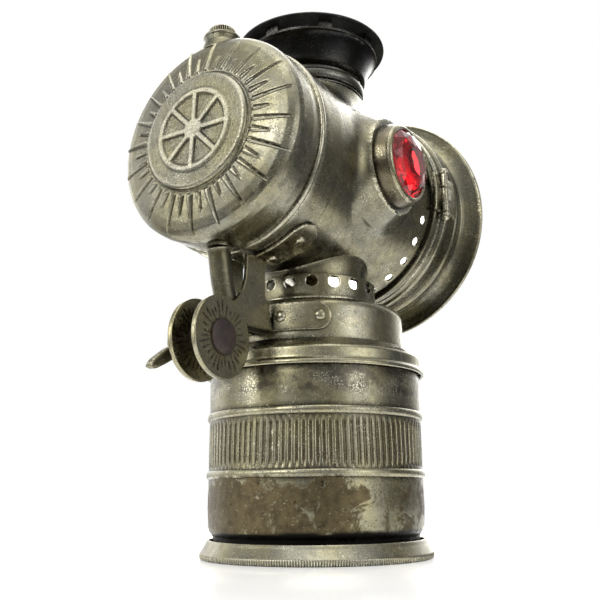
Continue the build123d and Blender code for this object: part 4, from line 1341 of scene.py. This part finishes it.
def make_bracket(sign, node):
    """One stamping: serrated ear, plate, strap round the dome and cradle under the barrel."""
    tag = "right" if sign < 0 else "left"
    ear_frame = CLAMP_RIGHT if sign < 0 else CLAMP_LEFT
    teeth = 31
    middle = (EAR_IN + EAR_OUT) / 2

    def scratches(radius, turn):
        """Short radial cuts of uneven length and depth round the bolt."""
        number = np.floor(turn * teeth / TAU)
        uneven = 0.5 + 0.5 * np.sin(number * 12.9 + sign)
        offset = 0.5 + 0.16 * np.sin(number * 5.3)
        wave = (turn * teeth / TAU) % 1.0
        groove = np.exp(-((wave - offset) / (0.12 + 0.06 * uneven)) ** 2)
        start = 5.4 + 0.9 * np.sin(number * 3.1)
        stop = 8.9 + 0.9 * np.sin(number * 7.7)
        band = step_between(radius, start, start + 0.7) * step_between(-radius, -stop, -stop + 0.7)
        return groove * band * (0.55 + 0.45 * uneven)

    def serrate(along, radius, turn):
        outer = step_between(along, middle, EAR_OUT)
        inner = 1 - step_between(along, EAR_IN, middle)
        depth = 0.07 * scratches(radius, turn)
        return along - depth * outer + depth * inner, radius

    def marks_and_shade_of(along, radius, turn):
        ring = np.exp(-((radius - 4.9) / 0.35) ** 2)
        return 2.4 * scratches(radius, turn) + 0.6 * ring

    outline = [(EAR_IN, 2.6), (EAR_IN, EAR_R), (EAR_OUT, EAR_R), (EAR_OUT, 2.6)]
    profile = rounded(outline, 0.45, 0.35, 4)
    turned("serrated_ear_" + tag, profile, teeth * 16, node, "plate", matrix=ear_frame, shift=serrate,
           sharp=50, marks_and_shade=marks_and_shade_of)
    strap_low, strap_high = 62.3, 70.3
    outline = [(28.0, strap_low), (40.2, strap_low)]
    outline += [(43.0, 60.0), (47.0, 62.0), (45.6, 67.3)]
    curve = [(45.6, 67.3), (43.6, 69.0), (41.6, 71.6), (40.4, 75.0), (40.0, 79.0), (40.0, 82.4)]
    outline += curve[1:]
    outline += [(31.7, 82.4), (31.7, 71.8), (30.4, 70.3)]
    points = soften(outline, 0.5, 3)
    count = len(points)
    edge = [(sign * (EAR_IN + 0.1), 0.2), (sign * (EAR_IN + 0.3), 0.0), (sign * (EAR_OUT - 0.3), 0.0),
            (sign * (EAR_OUT - 0.1), 0.2)]
    inward = inset_direction(points)
    verts, faces = [], []
    for x, inset in edge:
        for p, n in zip(points, inward):
            verts.append((x, p[0] + n[0] * inset, p[1] + n[1] * inset))
    faces += grid_faces(len(edge), count, False, True)
    faces.append(tuple(range(count))[::-1])
    faces.append(tuple((len(edge) - 1) * count + j for j in range(count)))
    finish_mesh("bracket_plate_" + tag, verts, faces, node, "plate")
    radius = DOME_HIGH[0] + 0.05
    start = math.asin(EAR_IN / radius)

    def on_dome(u, v, h):
        angle = u / radius
        return (sign * (radius + h) * math.sin(angle), (radius + h) * math.cos(angle), v)

    strap("dome_strap_" + tag, node, (strap_low + strap_high) / 2, 4.0, 0.9, on_dome, start * radius,
          math.radians(42.9) * radius)
    barrel_r = BAND_HIGH[0] + 0.05

    def on_barrel(u, v, h):
        angle = u / barrel_r
        return (sign * (barrel_r + h) * math.sin(angle), v, HEAD_Z - (barrel_r + h) * math.cos(angle))

    strap("cradle_strap_" + tag, node, 30.8, 5.2, 1.0, on_barrel, math.asin(EAR_IN / barrel_r) * barrel_r,
          math.radians(41) * barrel_r)


def inset_direction(points):
    """Unit vectors pointing into a closed outline at each of its points."""
    ahead = np.roll(points, -1, axis=0) - np.roll(points, 1, axis=0)
    ahead /= np.linalg.norm(ahead, axis=1)[:, None]
    area = np.sum(points[:, 0] * np.roll(points[:, 1], -1) - np.roll(points[:, 0], -1) * points[:, 1])
    turn = 1 if area > 0 else -1
    return np.column_stack([-ahead[:, 1], ahead[:, 0]]) * turn


def rivet(name, node, place, normal, radius, height):
    """Domed rivet head with a slight skirt."""
    normal = Vector(normal).normalized()
    side = normal.orthogonal().normalized()
    other = normal.cross(side)
    count = 32
    rings = [(radius * 1.02, -0.1), (radius, 0.12)]
    rings += [(radius * math.cos(a), 0.12 + (height - 0.12) * math.sin(a))
              for a in np.linspace(0.25, 1.5, 7)]
    verts, faces = [], []
    for r, h in rings:
        for k in range(count):
            a = TAU * k / count
            verts.append(tuple(Vector(place) + side * r * math.cos(a) + other * r * math.sin(a) + normal * h))
    faces += grid_faces(len(rings), count, False, True)
    faces.append(tuple(range(count))[::-1])
    faces.append(tuple((len(rings) - 1) * count + k for k in range(count)))
    finish_mesh(name, verts, faces, node, "plain")


def make_rivets():
    r = DOME_HIGH[0] + 0.95
    for i, degrees in enumerate((-36.5, -13.5, 13.5, 36.5)):
        turn = math.radians(degrees)
        normal = (math.sin(turn), math.cos(turn), 0)
        rivet(f"strap_rivet_{i}", "strap_rivets", (r * normal[0], r * normal[1], 66.4), normal, 1.6, 0.95)
    r = BAND_HIGH[0] + 1.0
    for i, x in enumerate((-15.6, -6.0, 6.0, 15.6)):
        turn = math.asin(x / r)
        normal = (math.sin(turn), 0, -math.cos(turn))
        rivet(f"cradle_rivet_{i}", "cradle_rivets", (r * normal[0], 30.6, HEAD_Z + r * normal[2]), normal,
              1.5, 0.85)


def make_clamp():
    head = BOLT_LOW[0]
    outline = [(-EAR_OUT + 2.0, 2.5), (EAR_OUT - 0.2, 2.5), (EAR_OUT - 0.2, 4.7), (EAR_OUT + 0.45, 4.7),
               (-head - 0.75, 4.25), (-head - 0.3, 3.0), (-head - 0.05, 1.4), (-head, 0.01)]
    tail = -NUT_HIGH[0] - 0.4
    outline = [(tail, 0.01), (tail, 2.1), (tail + 0.5, 2.5)] + outline[1:]

    def thread(along, radius, turn):
        on_shank = step_between(-along, 5.5, 6.0) * step_between(radius, 2.0, 2.4)
        return along, radius - 0.16 * (0.5 + 0.5 * np.sin(along * TAU / 0.9 + turn)) * on_shank

    turned("clamp_bolt_turned", rounded(outline, 0.28, 0.25, closed=False), 64, "clamp_bolt",
           "steel", matrix=CLAMP_RIGHT, closed=False, shift=thread)
    low, high = WASHER_LOW[0], WASHER_HIGH[0]
    turned("washer_turned", soften([(low, 2.6), (low, 5.2), (high, 5.2), (high, 2.6)], 0.2), 72,
           "clamp_washer", "fitting", matrix=CLAMP_LEFT)
    low, high = NUT_LOW[0], NUT_HIGH[0]
    outline = [(low, 2.6), (low, 4.6), (low + 1.2, 4.5), (high - 0.6, 3.7), (high, 3.3), (high, 2.6)]
    turned("wing_nut_hub", soften(outline, 0.25), 72, "wing_nut", "fitting", matrix=CLAMP_LEFT)
    tilt = math.radians(33)
    for sign in (-1, 1):
        sections = []
        for t in np.linspace(0, 1, 24):
            reach = 2.6 + 12.0 * t
            half = 1.35 + 0.45 * math.sin(math.pi * min(t * 0.85 + 0.12, 1.0)) ** 2
            tip = math.sqrt(max(0.0, 1 - max(0.0, (t - 0.84) / 0.16) ** 2))
            lean = 1.0 * t ** 1.5
            thick = 1.25 - 0.15 * t
            ring = []
            for u, v in rounded_box_section(thick, half * max(tip, 0.05), 0.9, 4):
                y = EAR_Y + sign * reach * math.cos(tilt) + v * math.sin(tilt)
                z = EAR_Z - sign * reach * math.sin(tilt) + v * math.cos(tilt)
                ring.append((low + 2.4 + lean + u, y, z))
            sections.append(ring)
        loft("wing_" + ("rear" if sign > 0 else "front"), sections, "wing_nut", "dull")


# ---- studio -----------------------------------------------------------------
CAMERA_PLACE = (-130.54, 202.81, 18.29)
CAMERA_AIM = (-0.97, 9.09, 75.59)
CAMERA_ROLL = -0.458
LENS_MM = 47.05


def make_camera():
    data = bpy.data.cameras.new("camera")
    data.lens = LENS_MM
    data.sensor_width = 36
    data.clip_start = 0.005
    data.clip_end = 20
    camera = new_object("camera", data)
    place = Vector(CAMERA_PLACE) * MM
    look = (Vector(CAMERA_AIM) * MM - place).to_track_quat("-Z", "Y").to_matrix().to_4x4()
    roll = Matrix.Rotation(math.radians(CAMERA_ROLL), 4, "Z")
    camera.matrix_world = Matrix.Translation(place) @ look @ roll
    bpy.context.scene.camera = camera


AMBIENT = 0.20
# direction the light comes from, strength, and how narrow it is
SOFT_LIGHTS = (
    ((0.02, 0.90, 0.44), 8.4, 46),
    ((0.58, 0.77, 0.30), 4.0, 20),
    ((0.97, -0.05, 0.24), 2.0, 10),
    ((-0.15, 0.20, 0.97), 3.7, 9),
    ((0.32, -0.77, 0.55), 6.2, 8),
    ((-0.98, 0.14, 0.22), 3.2, 17),
    ((-0.50, 0.80, 0.24), 0.6, 36),
)
TABLE_R = 0.21


def make_studio():
    turn = np.arange(128) * TAU / 128
    edge = [(TABLE_R * math.cos(a), TABLE_R * math.sin(a), 0) for a in turn]
    mesh = bpy.data.meshes.new("floor")
    mesh.from_pydata(edge, [], [tuple(range(128))])
    floor = new_object("floor", mesh)
    s = Shader("white_floor")
    s.set(Base_Color=s.mix(s.ramp(s.noise(40, 3), 0.3, 0.7), (0.86, 0.86, 0.86), (0.84, 0.84, 0.84)),
          Roughness=s.ramp(s.noise(60, 2), 0.3, 0.7, 0.10, 0.14))
    s.set(Emission_Color=(1.0, 1.0, 1.0), Emission_Strength=0.27)
    mesh.materials.append(s.material)
    world = bpy.data.worlds.new("studio")
    bpy.context.scene.world = world
    world.use_nodes = True
    tree = world.node_tree
    background = tree.nodes["Background"]
    place = tree.nodes.new("ShaderNodeTexCoord")
    total = AMBIENT
    for direction, gain, power in SOFT_LIGHTS:
        lobe = tree.nodes.new("ShaderNodeVectorMath")
        lobe.operation = "DOT_PRODUCT"
        lobe.inputs[1].default_value = Vector(direction).normalized()
        tree.links.new(place.outputs["Generated"], lobe.inputs[0])
        steps = [("MAXIMUM", 0.0), ("POWER", power), ("MULTIPLY", gain), ("ADD", total)]
        value = lobe.outputs["Value"]
        for kind, number in steps:
            node = tree.nodes.new("ShaderNodeMath")
            node.operation = kind
            tree.links.new(value, node.inputs[0])
            if isinstance(number, bpy.types.NodeSocket):
                tree.links.new(number, node.inputs[1])
            else:
                node.inputs[1].default_value = number
            value = node.outputs[0]
        total = value
    tree.links.new(total, background.inputs["Strength"])
    background.inputs["Color"].default_value = (1.0, 0.995, 0.975, 1)
    white = tree.nodes.new("ShaderNodeBackground")
    white.inputs["Color"].default_value = (1, 1, 1, 1)
    seen = tree.nodes.new("ShaderNodeLightPath")
    join = tree.nodes.new("ShaderNodeMixShader")
    tree.links.new(seen.outputs["Is Camera Ray"], join.inputs[0])
    tree.links.new(background.outputs[0], join.inputs[1])
    tree.links.new(white.outputs[0], join.inputs[2])
    tree.links.new(join.outputs[0], tree.nodes["World Output"].inputs["Surface"])
    bpy.context.scene.view_settings.view_transform = "Standard"


def main():
    dress_cad_nodes()
    make_camera()
    make_studio()
    make_base()
    make_can()
    make_collar()
    make_dome()
    make_gallery()
    make_barrel()
    make_saddle()
    make_tank()
    make_tank_front()
    make_valve()
    make_water_tube()
    make_chimney()
    make_jewel("red", RIGHT_SIDE, "red")
    make_jewel("green", LEFT_SIDE, "green")
    make_front_ring()
    make_door()
    make_hinge()
    make_catch()
    make_bracket(-1, "bracket_right")
    make_bracket(1, "bracket_left")
    make_rivets()
    make_clamp()


main()
